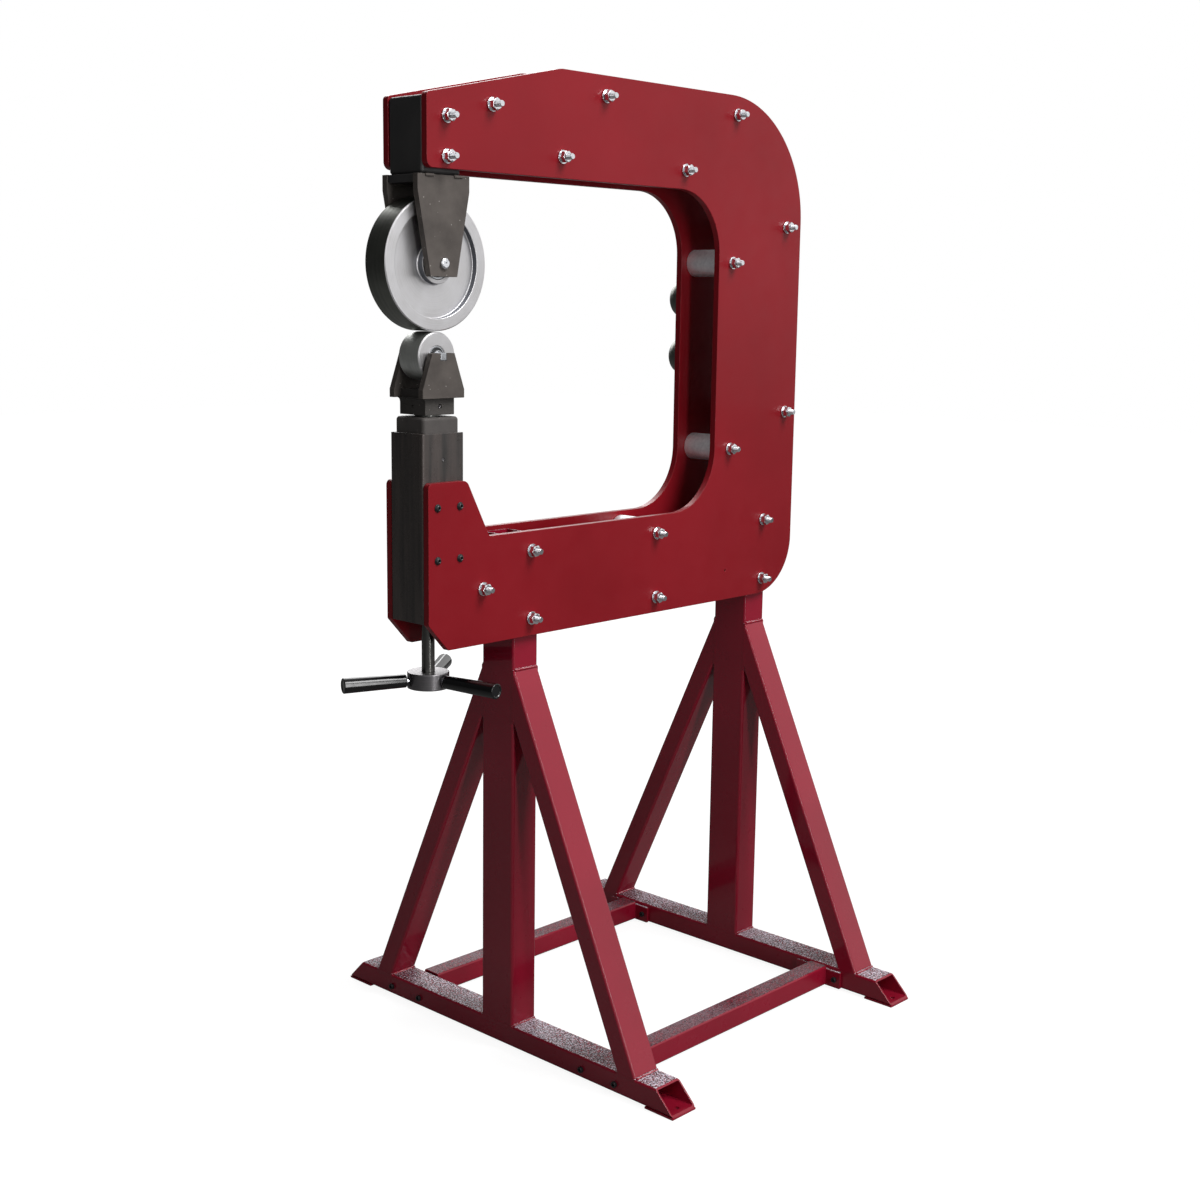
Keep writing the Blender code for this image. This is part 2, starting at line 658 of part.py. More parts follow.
def fixed_bolt_mesh(spacer):
    """A through bolt along local Z as it sits: head and washer at +Z, washer, nut and end at -Z."""
    washer_in = PLATE_OUTER_Y + FIT_GAP
    washer_out = washer_in + WASHER_THICKNESS
    half = BETWEEN_PLATES / 2
    middle = []
    if spacer:
        middle = [(BOLT_RADIUS, half), (SPACER_RADIUS, half), (SPACER_RADIUS, -half), (BOLT_RADIUS, -half)]
    end = washer_out + NUT_HEIGHT + BOLT_END_LENGTH
    profile = [
        (0, washer_out),
        (WASHER_RADIUS, washer_out),
        (WASHER_RADIUS, washer_in),
        (BOLT_RADIUS, washer_in),
    ]
    profile += middle
    profile += [(BOLT_RADIUS, -washer_in), (WASHER_RADIUS, -washer_in), (WASHER_RADIUS, -washer_out)]
    profile += [(BOLT_RADIUS, -washer_out), (BOLT_RADIUS, -end), (0, -end)]
    bolt = turned_piece("bolt_blank", profile, ZINC, (0, 0, 0), AS_IS, MACHINE, SMALL_SEGMENTS, False)
    sunk = WASHER_THICKNESS / 2
    head = outline_mesh([circle(0, 0, BOLT_HEAD_ACROSS / math.sqrt(3), 6)], BOLT_HEAD_HEIGHT + sunk)
    nut = outline_mesh([circle(0, 0, NUT_ACROSS / math.sqrt(3), 6)], NUT_HEIGHT + sunk)
    head_mid = washer_out + (BOLT_HEAD_HEIGHT - sunk) / 2
    nut_mid = -(washer_out + (NUT_HEIGHT - sunk) / 2)
    tools = [
        boolean(bolt, head, "UNION", (0, 0, head_mid)).object,
        boolean(bolt, nut, "UNION", (0, 0, nut_mid)).object,
    ]
    mesh = welded(evaluated_mesh(bolt))
    for scrap in [bolt] + tools:
        bpy.data.objects.remove(scrap)
    return mesh


def make_frame_bolts():
    """Bolt heads bear on the left plate and nuts on the right one, each on a washer."""
    spaced_bolt = fixed_bolt_mesh(True)
    plain_bolt = fixed_bolt_mesh(False)
    for index, (across, up) in enumerate(SPACED_BOLTS):
        add(f"spacer_bolt_{index + 1:02d}", spaced_bolt, ZINC, (across, 0, up), ALONG_Y, smooth=False)
    for index, (across, up) in enumerate(PLAIN_BOLTS):
        add(f"through_bolt_{index + 1}", plain_bolt, ZINC, (across, 0, up), ALONG_Y, smooth=False)


# Head block and fork


def fork_screw_places():
    share_x, share_y = fork_screw_place_shares
    return [
        (HEAD_BLOCK_X + side_x * share_x * HEAD_BLOCK_LENGTH, side_y * share_y * FORK_GAP)
        for side_x in (-1, 1)
        for side_y in (-1, 1)
    ]


def make_head_block():
    block = add(
        "head_block",
        box_mesh(HEAD_BLOCK_LENGTH, BETWEEN_PLATES, HEAD_BLOCK_HEIGHT),
        BLACK_STEEL,
        (HEAD_BLOCK_X, 0, HEAD_BLOCK_BOTTOM_Z + HEAD_BLOCK_HEIGHT / 2),
    )
    bevelled(block, HEAD_BLOCK_EDGE, 2)
    cut(block, hole_tools(BLOCK_BOLTS, BOLT_HOLE_RADIUS, BETWEEN_PLATES + 2 * CUT_OVER))
    drill = drill_mesh(FORK_SCREW_RADIUS, 2 * (FORK_SCREW_DEPTH + CUT_OVER), BOLT_SEGMENTS)
    tools = joined([(drill, at(across, side, HEAD_BLOCK_BOTTOM_Z)) for across, side in fork_screw_places()])
    cut(block, tools)


def screw_mesh(head_radius, head_height, radius, length):
    """A cap screw along local Z, with its head above zero."""
    profile = [
        (0, head_height),
        (head_radius, head_height),
        (head_radius, 0),
        (radius, 0),
        (radius, -length),
        (0, -length),
    ]
    return turned_mesh(profile, BOLT_SEGMENTS, False)


def make_fork():
    """Top plate with two tapered arms welded to its sides, and the four screws that hold it."""
    shoulder = -FORK_SHOULDER_HEIGHT
    tip = -(AXLE_DROP + FORK_TAIL)
    half_top, half_tip = FORK_TOP_LENGTH / 2, FORK_TIP_LENGTH / 2
    arm_outline = [
        (-half_top, 0),
        (-half_top, shoulder),
        (-half_tip, tip),
        (half_tip, tip),
        (half_top, shoulder),
        (half_top, 0),
    ]
    hole_radius = facetted_hole(AXLE_BOLT_RADIUS + FIT_GAP, SMALL_SEGMENTS)
    pin_hole = circle(0, -AXLE_DROP, hole_radius, SMALL_SEGMENTS)
    arm = outline_mesh([arm_outline, pin_hole], FORK_ARM_THICKNESS)
    arm_mid = FORK_GAP / 2 + FORK_ARM_THICKNESS / 2
    place = (AXIS_X, 0, FORK_TOP_Z)
    fork = add("wheel_fork", joined([(arm, at(0, -arm_mid, 0) @ UPRIGHT)]), BLACK_STEEL, place)
    boolean(fork, joined([(arm, at(0, arm_mid, 0) @ UPRIGHT)]), "UNION", place)
    overlap = FORK_ARM_THICKNESS / 2
    sunk = FORK_SHOULDER_HEIGHT - FORK_TOP_THICKNESS
    plate = box_mesh(FORK_TOP_LENGTH - sunk, FORK_GAP + 2 * overlap, FORK_TOP_THICKNESS)
    boolean(fork, plate, "UNION", (AXIS_X, 0, FORK_TOP_Z - FORK_TOP_THICKNESS / 2 - FIT_GAP))
    shank = FORK_TOP_THICKNESS + FORK_SCREW_DEPTH
    screw = screw_mesh(FORK_SCREW_HEAD_RADIUS, FORK_SCREW_HEAD_HEIGHT, FORK_SCREW_RADIUS, shank)
    flip = Matrix.Rotation(math.pi, 4, "X")
    head_seat = FORK_TOP_Z - FORK_TOP_THICKNESS
    screws = joined([(screw, at(across, side, head_seat) @ flip) for across, side in fork_screw_places()])
    boolean(fork, screws, "UNION")


# Upper wheel


def bearing_profile(bore, outer, width, nose_radius, nose_end):
    """A ball bearing's section: its outer side at +Z has an inner race that runs on to nose_end."""
    half = width / 2
    return [
        (nose_radius, nose_end),
        (nose_radius, half),
        (outer, half),
        (outer, -half),
        (bore, -half),
        (bore, nose_end),
    ]


def make_bearings(name, profile, middle, place, under, segments):
    """The same bearing at the wheel's right and left ends, its nose pointing out."""
    for side_name, side, turn in (("right", -1, UPRIGHT), ("left", 1, ALONG_Y)):
        spot = (place[0], side * middle, place[2])
        turned_piece(f"{name}_{side_name}", profile, GREY_STEEL, spot, turn, under, segments)


def make_upper_wheel():
    half, rim = WHEEL_WIDTH / 2, WHEEL_RADIUS
    web = half - WHEEL_RECESS_DEPTH
    boss = half + WHEEL_BOSS_STAND
    seat_radius = BEARING_RADIUS + FIT_GAP
    fillet = WHEEL_RECESS_FILLET
    shelf = boss - BEARING_WIDTH
    side = [
        (WHEEL_BOSS_RADIUS, boss),
        (WHEEL_BOSS_RADIUS + fillet / 2, web + fillet),
        (WHEEL_BOSS_RADIUS + 2 * fillet, web),
        (WHEEL_RECESS_RADIUS - fillet, web),
        (WHEEL_RECESS_RADIUS, half),
        (rim - WHEEL_EDGE, half),
        (rim, half - WHEEL_EDGE),
    ]
    bore = [
        (seat_radius, -boss),
        (seat_radius, -shelf),
        (seat_radius - BEARING_STEP, -shelf),
        (seat_radius - BEARING_STEP, shelf),
        (seat_radius, shelf),
        (seat_radius, boss),
    ]
    place = (AXIS_X, 0, WHEEL_Z)
    profile = side + [(radius, -height) for radius, height in reversed(side)] + bore
    turned_piece("upper_wheel", profile, BRIGHT_STEEL, place, ALONG_Y, WHEEL_PIVOT, WHEEL_SEGMENTS)

    middle = boss - BEARING_WIDTH / 2
    nose_end = FORK_GAP / 2 - RUN_GAP - middle
    width = BEARING_WIDTH - 2 * FIT_GAP
    bearing = bearing_profile(AXLE_RADIUS + RUN_GAP, BEARING_RADIUS, width, BEARING_NOSE_RADIUS, nose_end)
    make_bearings("upper_bearing", bearing, middle, place, WHEEL_PIVOT, TURNED_SEGMENTS)

    axle_half = FORK_GAP / 2 - FIT_GAP
    axle = ring_profile(AXLE_BOLT_RADIUS + FIT_GAP, AXLE_RADIUS, axle_half)
    turned_piece("upper_axle", axle, GREY_STEEL, place, ALONG_Y, MACHINE)
    arm_face = FORK_GAP / 2 + FORK_ARM_THICKNESS + FIT_GAP
    bolt = [
        (0, arm_face + AXLE_HEAD_HEIGHT),
        (AXLE_HEAD_RADIUS - AXLE_HEAD_HEIGHT / 2, arm_face + AXLE_HEAD_HEIGHT),
        (AXLE_HEAD_RADIUS, arm_face + AXLE_HEAD_HEIGHT / 2),
        (AXLE_HEAD_RADIUS, arm_face),
        (AXLE_BOLT_RADIUS, arm_face),
        (AXLE_BOLT_RADIUS, -arm_face),
        (AXLE_HEAD_RADIUS, -arm_face),
        (AXLE_HEAD_RADIUS, -arm_face - AXLE_NUT_HEIGHT),
        (0, -arm_face - AXLE_NUT_HEIGHT),
    ]
    turned_piece("axle_bolt", bolt, ZINC, place, UPRIGHT, MACHINE, SMALL_SEGMENTS, False)


# Anvil wheel and cradle


def crown_points(radius, width, crown, edge, count):
    """The rim of a crowned wheel, from its top edge down: an arc that drops by the crown at each side."""
    half = width / 2
    rise = radius - crown - edge
    points = [(rise, half)]
    for index in range(count + 1):
        height = (half - edge) * (1 - 2 * index / count)
        points.append((radius - crown * (height / (half - edge)) ** 2, height))
    return points + [(rise, -half)]


def anvil_profile(crown, steps):
    half = ANVIL_WIDTH / 2
    seat_radius = ANVIL_BEARING_RADIUS + FIT_GAP
    shelf = half - ANVIL_RECESS_DEPTH - ANVIL_BEARING_WIDTH
    rim = crown_points(ANVIL_RADIUS, ANVIL_WIDTH, crown, ANVIL_EDGE, steps)
    bore = [
        (seat_radius, -half),
        (seat_radius, -shelf),
        (seat_radius - ANVIL_BEARING_STEP, -shelf),
        (seat_radius - ANVIL_BEARING_STEP, shelf),
        (seat_radius, shelf),
        (seat_radius, half),
    ]
    return rim + bore


def make_anvil():
    place = (AXIS_X, 0, ANVIL_Z)
    rim = anvil_profile(ANVIL_CROWN, 2)
    turned_piece("anvil_wheel", rim, BRIGHT_STEEL, place, ALONG_Y, ANVIL_PIVOT, ANVIL_SEGMENTS)
    middle = ANVIL_WIDTH / 2 - ANVIL_RECESS_DEPTH - ANVIL_BEARING_WIDTH / 2
    bearing = bearing_profile(
        ANVIL_SHAFT_RADIUS + RUN_GAP,
        ANVIL_BEARING_RADIUS,
        ANVIL_BEARING_WIDTH - 2 * FIT_GAP,
        ANVIL_BEARING_NOSE_RADIUS,
        CRADLE_GAP / 2 - ANVIL_SIDE_GAP - middle,
    )
    make_bearings("anvil_bearing", bearing, middle, place, ANVIL_PIVOT, BEARING_SEGMENTS)

    round_part = rod_mesh(ANVIL_SHAFT_RADIUS, CRADLE_GAP - 2 * FIT_GAP, TURNED_SEGMENTS)
    shaft = add("anvil_shaft", round_part, GREY_STEEL, place, ALONG_Y, RAM_SLIDE)
    end_length = CHEEK_THICKNESS + 2 * FIT_GAP
    end_mid = CRADLE_GAP / 2 + CHEEK_THICKNESS - end_length / 2
    end = box_mesh(ANVIL_FLAT_WIDTH, end_length, ANVIL_FLAT_WIDTH)
    ends = joined([(end, at(0, side * end_mid, 0)) for side in (-1, 1)])
    boolean(shaft, ends, "UNION", place, AS_IS, RAM_SLIDE)


def make_cradle():
    """Two notched cheeks on a block whose round spigot stands in the ram's top."""
    half_top, half = CHEEK_TOP_LENGTH / 2, CHEEK_LENGTH / 2
    notch = ANVIL_FLAT_WIDTH / 2 + FIT_GAP
    notch_floor = CHEEK_TOP_Z - CHEEK_TOP_ABOVE_AXIS - notch
    outline = [
        (half, CHEEK_BOTTOM_Z),
        (half, CHEEK_BOTTOM_Z + CHEEK_BAND),
        (half_top, CHEEK_TOP_Z),
        (notch, CHEEK_TOP_Z),
        (notch, notch_floor),
        (-notch, notch_floor),
        (-notch, CHEEK_TOP_Z),
        (-half_top, CHEEK_TOP_Z),
        (-half, CHEEK_BOTTOM_Z + CHEEK_BAND),
        (-half, CHEEK_BOTTOM_Z),
    ]
    cheek = outline_mesh([outline], CHEEK_THICKNESS)
    cheek_mid = CRADLE_GAP / 2 + CHEEK_THICKNESS / 2
    block_height = CRADLE_BLOCK_DROP + CRADLE_BLOCK_RISE
    block = box_mesh(CRADLE_BLOCK_LENGTH, CRADLE_BLOCK_WIDTH, block_height)
    place = (AXIS_X, 0, CRADLE_BOTTOM_Z + block_height / 2)
    cradle = add("anvil_cradle", block, BLACK_STEEL, place, under=RAM_SLIDE)
    for side in (-1, 1):
        boolean(cradle, joined([(cheek, UPRIGHT)]), "UNION", (AXIS_X, side * cheek_mid, 0), AS_IS, RAM_SLIDE)
    spigot_length = SPIGOT_STAND + RAM_TOP_WALL
    spigot = rod_mesh(SPIGOT_RADIUS, spigot_length + SPIGOT_STAND, TURNED_SEGMENTS)
    spigot_mid = CRADLE_BOTTOM_Z - spigot_length + (spigot_length + SPIGOT_STAND) / 2
    boolean(cradle, spigot, "UNION", (AXIS_X, 0, spigot_mid), AS_IS, RAM_SLIDE)
    drill = rod_mesh(CRADLE_HOLE_RADIUS, 2 * CRADLE_HOLE_DEPTH, SMALL_SEGMENTS, ALONG_Y)
    hole_place = (AXIS_X, -CRADLE_BLOCK_WIDTH / 2, CRADLE_BOTTOM_Z + CRADLE_BLOCK_DROP / 2)
    cut(cradle, drill, hole_place, AS_IS, RAM_SLIDE)


# Ram, sleeve and adjusting screw


def make_ram():
    """Bar with rounded edges, bored from below for the screw and from above for the spigot."""
    body = outline_mesh([rounded_box_loop(RAM_FRONT_TO_BACK, RAM_WIDTH, RAM_CORNER)], RAM_LENGTH)
    ram = add("ram", body, BLACK_STEEL, (AXIS_X, 0, RAM_TOP_Z - RAM_LENGTH / 2), under=RAM_SLIDE)
    bevelled(ram, RAM_TOP_EDGE, angle=RIM_ANGLE)
    bore_length = RAM_LENGTH - RAM_TOP_WALL
    bore = box_mesh(RAM_BORE, RAM_BORE, bore_length + CUT_OVER)
    cut(ram, bore, (AXIS_X, 0, RAM_BOTTOM_Z + bore_length / 2 - CUT_OVER / 2), AS_IS, RAM_SLIDE)
    hole = drill_mesh(SPIGOT_RADIUS, 2 * RAM_TOP_WALL + 2 * CUT_OVER, TURNED_SEGMENTS)
    cut(ram, hole, (AXIS_X, 0, RAM_TOP_Z), AS_IS, RAM_SLIDE)

    nut_size = RAM_BORE - 2 * FIT_GAP
    nut = add(
        "ram_nut",
        box_mesh(nut_size, nut_size, RAM_NUT_HEIGHT),
        BRONZE,
        (AXIS_X, 0, RAM_BOTTOM_Z + RAM_NUT_HEIGHT / 2),
        under=RAM_SLIDE,
    )
    bevelled(nut, RAM_TOP_EDGE / 2)
    tap = drill_mesh(SCREW_RADIUS, RAM_NUT_HEIGHT + 2 * CUT_OVER, TURNED_SEGMENTS)
    cut(nut, tap, (AXIS_X, 0, RAM_BOTTOM_Z + RAM_NUT_HEIGHT / 2), AS_IS, RAM_SLIDE)


def make_sleeve():
    length = SLEEVE_TOP_Z - SLEEVE_BOTTOM_Z
    outside = rounded_box_loop(SLEEVE_LENGTH, BETWEEN_PLATES, SLEEVE_CORNER)
    inside = rounded_box_loop(SLEEVE_BORE_LENGTH, SLEEVE_BORE_WIDTH, RAM_CORNER + RUN_GAP)
    sleeve_mesh = outline_mesh([outside, inside], length)
    sleeve = add("ram_sleeve", sleeve_mesh, BLACK_STEEL, (AXIS_X, 0, SLEEVE_BOTTOM_Z + length / 2))
    pin = rod_mesh(SLEEVE_PIN_HOLE_RADIUS, 4 * SLEEVE_SIDE_WALL, BOLT_SEGMENTS, ALONG_Y)
    cut(sleeve, pin, (AXIS_X, -BETWEEN_PLATES / 2, SLEEVE_TOP_Z - SLEEVE_PIN_HOLE_DROP))

    base_length = SLEEVE_BORE_LENGTH - 2 * FIT_GAP
    base_width = SLEEVE_BORE_WIDTH - 2 * FIT_GAP
    base = outline_mesh(
        [
            rounded_box_loop(base_length, base_width, RAM_CORNER),
            circle(0, 0, facetted_hole(SCREW_RADIUS + RUN_GAP, TURNED_SEGMENTS), TURNED_SEGMENTS),
        ],
        SLEEVE_BASE_THICKNESS,
    )
    add("sleeve_base", base, BLACK_STEEL, (AXIS_X, 0, SLEEVE_BOTTOM_Z + SLEEVE_BASE_THICKNESS / 2))

    head_seat = PLATE_OUTER_Y + FIT_GAP
    tip = head_seat - (PLATE_INNER_Y - SLEEVE_SIDE_WALL / 2)
    screw = screw_mesh(SLEEVE_SCREW_HEAD_RADIUS, SLEEVE_SCREW_HEAD_HEIGHT, SLEEVE_SCREW_RADIUS, tip)
    left = [(screw, at(across, head_seat, up) @ ALONG_Y) for across, up in SLEEVE_SCREWS]
    right = [(screw, at(across, -head_seat, up) @ UPRIGHT) for across, up in SLEEVE_SCREWS]
    boolean(sleeve, joined(left + right), "UNION")


def make_adjusting_screw():
    """The screw turns in the sleeve's base, hangs on its collar and carries the ram by its nut."""
    length = SCREW_TOP_Z - HUB_BOTTOM_Z
    middle = (SCREW_TOP_Z + HUB_BOTTOM_Z) / 2
    mesh = rod_mesh(SCREW_RADIUS, length, TURNED_SEGMENTS)
    add("adjusting_screw", mesh, GREY_STEEL, (AXIS_X, 0, middle), under=SCREW_PIVOT)
    collar = ring_profile(SCREW_RADIUS + FIT_GAP, COLLAR_RADIUS, COLLAR_HEIGHT / 2)
    place = (AXIS_X, 0, SLEEVE_BASE_TOP_Z + RUN_GAP + COLLAR_HEIGHT / 2)
    turned_piece("thrust_collar", collar, GREY_STEEL, place, AS_IS, SCREW_PIVOT)

    half = HUB_HEIGHT / 2
    hub_profile = [
        (SCREW_RADIUS + FIT_GAP, half),
        (HUB_RADIUS - HUB_EDGE, half),
        (HUB_RADIUS, half - HUB_EDGE),
        (HUB_RADIUS, HUB_EDGE - half),
        (HUB_RADIUS - HUB_EDGE, -half),
        (SCREW_RADIUS + FIT_GAP, -half),
    ]
    hub_place = (AXIS_X, 0, HANDLE_Z)
    hub = turned_piece("hand_hub", hub_profile, GREY_STEEL, hub_place, AS_IS, SCREW_PIVOT, TURNED_SEGMENTS)
    drill = drill_mesh(HANDLE_ROD_RADIUS, HANDLE_ROD_SOCKET + CUT_OVER, SMALL_SEGMENTS)
    drill_mid = HUB_RADIUS + (CUT_OVER - HANDLE_ROD_SOCKET) / 2
    holes = [(drill, handle_turn(index) @ at(0, 0, drill_mid)) for index in range(HANDLE_COUNT)]
    cut(hub, joined(holes), hub_place, AS_IS, SCREW_PIVOT)
    set_turn = Matrix.Rotation(math.tau / HANDLE_COUNT / 2, 4, "Z") @ handle_turn(0)
    set_length = HUB_RADIUS - SCREW_RADIUS - FIT_GAP
    set_drill = drill_mesh(HUB_SET_SCREW_RADIUS, set_length + 2 * CUT_OVER, BOLT_SEGMENTS)
    set_hole = joined([(set_drill, set_turn @ at(0, 0, HUB_RADIUS - set_length / 2))])
    cut(hub, set_hole, hub_place, AS_IS, SCREW_PIVOT)
    inner_end = SCREW_RADIUS + FIT_GAP
    outer_end = HUB_RADIUS - HUB_EDGE
    stub = rod_mesh(HUB_SET_SCREW_RADIUS, outer_end - inner_end, BOLT_SEGMENTS)
    stub_mesh = joined([(stub, set_turn @ at(0, 0, (outer_end + inner_end) / 2))])
    add("hub_set_screw", stub_mesh, BLACK_STEEL, hub_place, under=SCREW_PIVOT)


def handle_turn(index):
    """Turns local Z to a handle's direction."""
    return Matrix.Rotation(handle_angle(index), 4, "Z") @ ALONG_X


def make_handles():
    rod_start = HUB_RADIUS - HANDLE_ROD_SOCKET + FIT_GAP
    rod_end = GRIP_START + GRIP_BORE_LENGTH - FIT_GAP
    rod = rod_mesh(HANDLE_ROD_RADIUS, rod_end - rod_start, SMALL_SEGMENTS)
    one_rod = joined([(rod, at(0, 0, (rod_start + rod_end) / 2))])
    bore = HANDLE_ROD_RADIUS + FIT_GAP
    bore_end = GRIP_START + GRIP_BORE_LENGTH
    profile = [
        (0, HANDLE_REACH - GRIP_CUP_DEPTH),
        (GRIP_CUP_RADIUS, HANDLE_REACH - GRIP_CUP_DEPTH),
        (GRIP_CUP_RADIUS + GRIP_CUP_DEPTH, HANDLE_REACH),
        (GRIP_OUTER_RADIUS - GRIP_EDGE, HANDLE_REACH),
        (GRIP_OUTER_RADIUS, HANDLE_REACH - GRIP_EDGE),
        (GRIP_INNER_RADIUS, GRIP_START + GRIP_EDGE),
        (GRIP_INNER_RADIUS - GRIP_EDGE, GRIP_START),
        (bore, GRIP_START),
        (bore, bore_end),
        (0, bore_end),
    ]
    place = (AXIS_X, 0, HANDLE_Z)
    for index in range(HANDLE_COUNT):
        turn = handle_turn(index)
        add(f"handle_rod_{index + 1}", one_rod, ZINC, place, turn, SCREW_PIVOT)
        name = f"handle_grip_{index + 1}"
        turned_piece(name, profile, BLACK_PLASTIC, place, turn, SCREW_PIVOT, BEARING_SEGMENTS, False)


# Stand


def make_posts():
    length = POST_TOP_Z - POST_BASE_Z
    for name, across, bolts in (
        ("front_post", FRONT_POST_X, FRONT_POST_BOLTS),
        ("rear_post", REAR_POST_X, REAR_POST_BOLTS),
    ):
        mesh = tube_mesh(POST_WIDTH, BETWEEN_PLATES, length, TUBE_WALL, POST_CORNER)
        post = add(name, mesh, RED_PAINT, (across, 0, POST_BASE_Z + length / 2))
        cut(post, hole_tools(bolts, BOLT_HOLE_RADIUS, BETWEEN_PLATES + 2 * CUT_OVER))


def rail_screw_places(side):
    """Y of the two screws in the flanges of one rail."""
    return [side * RAIL_Y + hole_side * FLANGE_SCREW_SPACING / 2 for hole_side in (-1, 1)]


def make_beams():
    """Cross beams with ends cut back at 45 degrees, a foot pad welded under each end."""
    overlength = 2 * (BEAM_HALF_LENGTH + CUT_OVER)
    for name, across in (("front_beam", FRONT_POST_X), ("rear_beam", REAR_POST_X)):
        mesh = tube_mesh(POST_WIDTH, BEAM_HEIGHT, overlength, TUBE_WALL, POST_CORNER)
        beam = add(name, mesh, RED_PAINT, (across, 0, BEAM_MID_Z), ALONG_Y)
        reach = 4 * BEAM_HEIGHT
        block = box_mesh(POST_WIDTH + 2 * CUT_OVER, reach, reach)
        for side in (-1, 1):
            slope = Matrix.Rotation(math.radians(BEAM_END_ANGLE * side), 4, "X")
            away = Vector((0, side, 1)).normalized() * reach / 2
            foot = Vector((across, side * BEAM_HALF_LENGTH, PAD_THICKNESS))
            cut(beam, block.copy(), foot + away, slope)
        sunk = TUBE_WALL / 2
        pad = box_mesh(POST_WIDTH - 2 * POST_CORNER, PAD_LENGTH, PAD_THICKNESS + sunk)
        pad_mid = BEAM_HALF_LENGTH - PAD_THICKNESS - PAD_LENGTH / 2
        pad_z = (PAD_THICKNESS + sunk) / 2
        pads = joined([(pad, at(across, side * pad_mid, pad_z)) for side in (-1, 1)])
        boolean(beam, pads, "UNION")
        screws = rail_screw_places(-1) + rail_screw_places(1)
        drill = drill_mesh(RAIL_SCREW_RADIUS, POST_WIDTH + 2 * CUT_OVER, BOLT_SEGMENTS, ALONG_X)
        cut(beam, joined([(drill, at(across, side, FLANGE_Z)) for side in screws]))
        anchor = rod_mesh(ANCHOR_HOLE_RADIUS, 4 * (TUBE_WALL + PAD_THICKNESS), SMALL_SEGMENTS)
        cut(beam, joined([(anchor, at(across, side * ANCHOR_Y, PAD_THICKNESS)) for side in (-1, 1)]))


def make_braces():
    """A brace's ends are cut to lie on the beam's top and on the post's side."""
    post_side = BETWEEN_PLATES / 2
    run, rise = BRACE_FOOT_Y - post_side, BRACE_TOP_Z - BEAM_TOP_Z
    slope = math.atan2(rise, run)
    length = math.hypot(run, rise)
    for end, across in (("front", FRONT_POST_X), ("rear", REAR_POST_X)):
        for name, side in (("right", -1), ("left", 1)):
            inward = Vector((0, -side * math.sin(slope), -math.cos(slope))) * BRACE_DEPTH / 2
            edge_mid_y, edge_mid_z = side * (BRACE_FOOT_Y + post_side) / 2, (BRACE_TOP_Z + BEAM_TOP_Z) / 2
            middle = Vector((across, edge_mid_y, edge_mid_z)) + inward
            lean = Matrix.Rotation(side * (math.pi / 2 - slope), 4, "X")
            mesh = tube_mesh(POST_WIDTH, BRACE_DEPTH, length + 2 * BRACE_DEPTH, TUBE_WALL, POST_CORNER)
            brace = add(f"{end}_{name}_brace", mesh, RED_PAINT, middle, lean)
            big = 4 * BRACE_DEPTH
            floor_tool = box_mesh(POST_WIDTH + 2 * CUT_OVER, BRACE_FOOT_Y + big, big)
            cut(brace, floor_tool, (across, side * BRACE_FOOT_Y, BEAM_TOP_Z + FIT_GAP - big / 2))
            post_tool = box_mesh(POST_WIDTH + 2 * CUT_OVER, big, BRACE_TOP_Z + big)
            cut(brace, post_tool, (across, side * (post_side + FIT_GAP - big / 2), BRACE_TOP_Z))


def make_rails():
    """Rails along the machine, with welded end flanges that are screwed to the cross beams."""
    front_face = FRONT_POST_X + POST_WIDTH / 2 + FIT_GAP
    rear_face = REAR_POST_X - POST_WIDTH / 2 - FIT_GAP
    flange = box_mesh(FLANGE_THICKNESS, FLANGE_LENGTH, FLANGE_HEIGHT)
    grip = POST_WIDTH + FLANGE_THICKNESS + 2 * FIT_GAP
    length = grip + RAIL_NUT_HEIGHT + FIT_GAP
    screw = screw_mesh(RAIL_SCREW_HEAD_RADIUS, RAIL_SCREW_HEAD_HEIGHT, RAIL_SCREW_RADIUS, length)
    nut = outline_mesh([circle(0, 0, RAIL_NUT_RADIUS, 6)], RAIL_NUT_HEIGHT)
    backward = Matrix.Rotation(math.radians(-90), 4, "Y")
    # Screw heads bear on the front beam's front face and, at the rear, on the flange.
    front_seat = FRONT_POST_X - POST_WIDTH / 2 - FIT_GAP
    rear_seat = rear_face - FLANGE_THICKNESS
    length_between = rear_face - front_face - FLANGE_THICKNESS
    front_nut = front_face + FLANGE_THICKNESS + RAIL_NUT_HEIGHT / 2 - FIT_GAP
    rear_nut = REAR_POST_X + POST_WIDTH / 2 + FIT_GAP + RAIL_NUT_HEIGHT / 2
    for name, side in (("right_rail", -1), ("left_rail", 1)):
        mesh = tube_mesh(RAIL_SIZE, RAIL_SIZE, length_between, TUBE_WALL, RAIL_CORNER)
        rail = add(name, mesh, RED_PAINT, ((front_face + rear_face) / 2, side * RAIL_Y, RAIL_Z), ALONG_X)
        middles = (front_face + FLANGE_THICKNESS / 2, rear_face - FLANGE_THICKNESS / 2)
        flanges = joined([(flange, at(middle, side * RAIL_Y, FLANGE_Z)) for middle in middles])
        boolean(rail, flanges, "UNION")
        screws = []
        nuts = []
        for across in rail_screw_places(side):
            screws += [(screw, at(along, across, FLANGE_Z) @ backward) for along in (front_seat, rear_seat)]
            nuts += [(nut, at(along, across, FLANGE_Z) @ ALONG_X) for along in (front_nut, rear_nut)]
        boolean(rail, joined(screws), "UNION")
        boolean(rail, joined(nuts), "UNION")


# Spare anvils


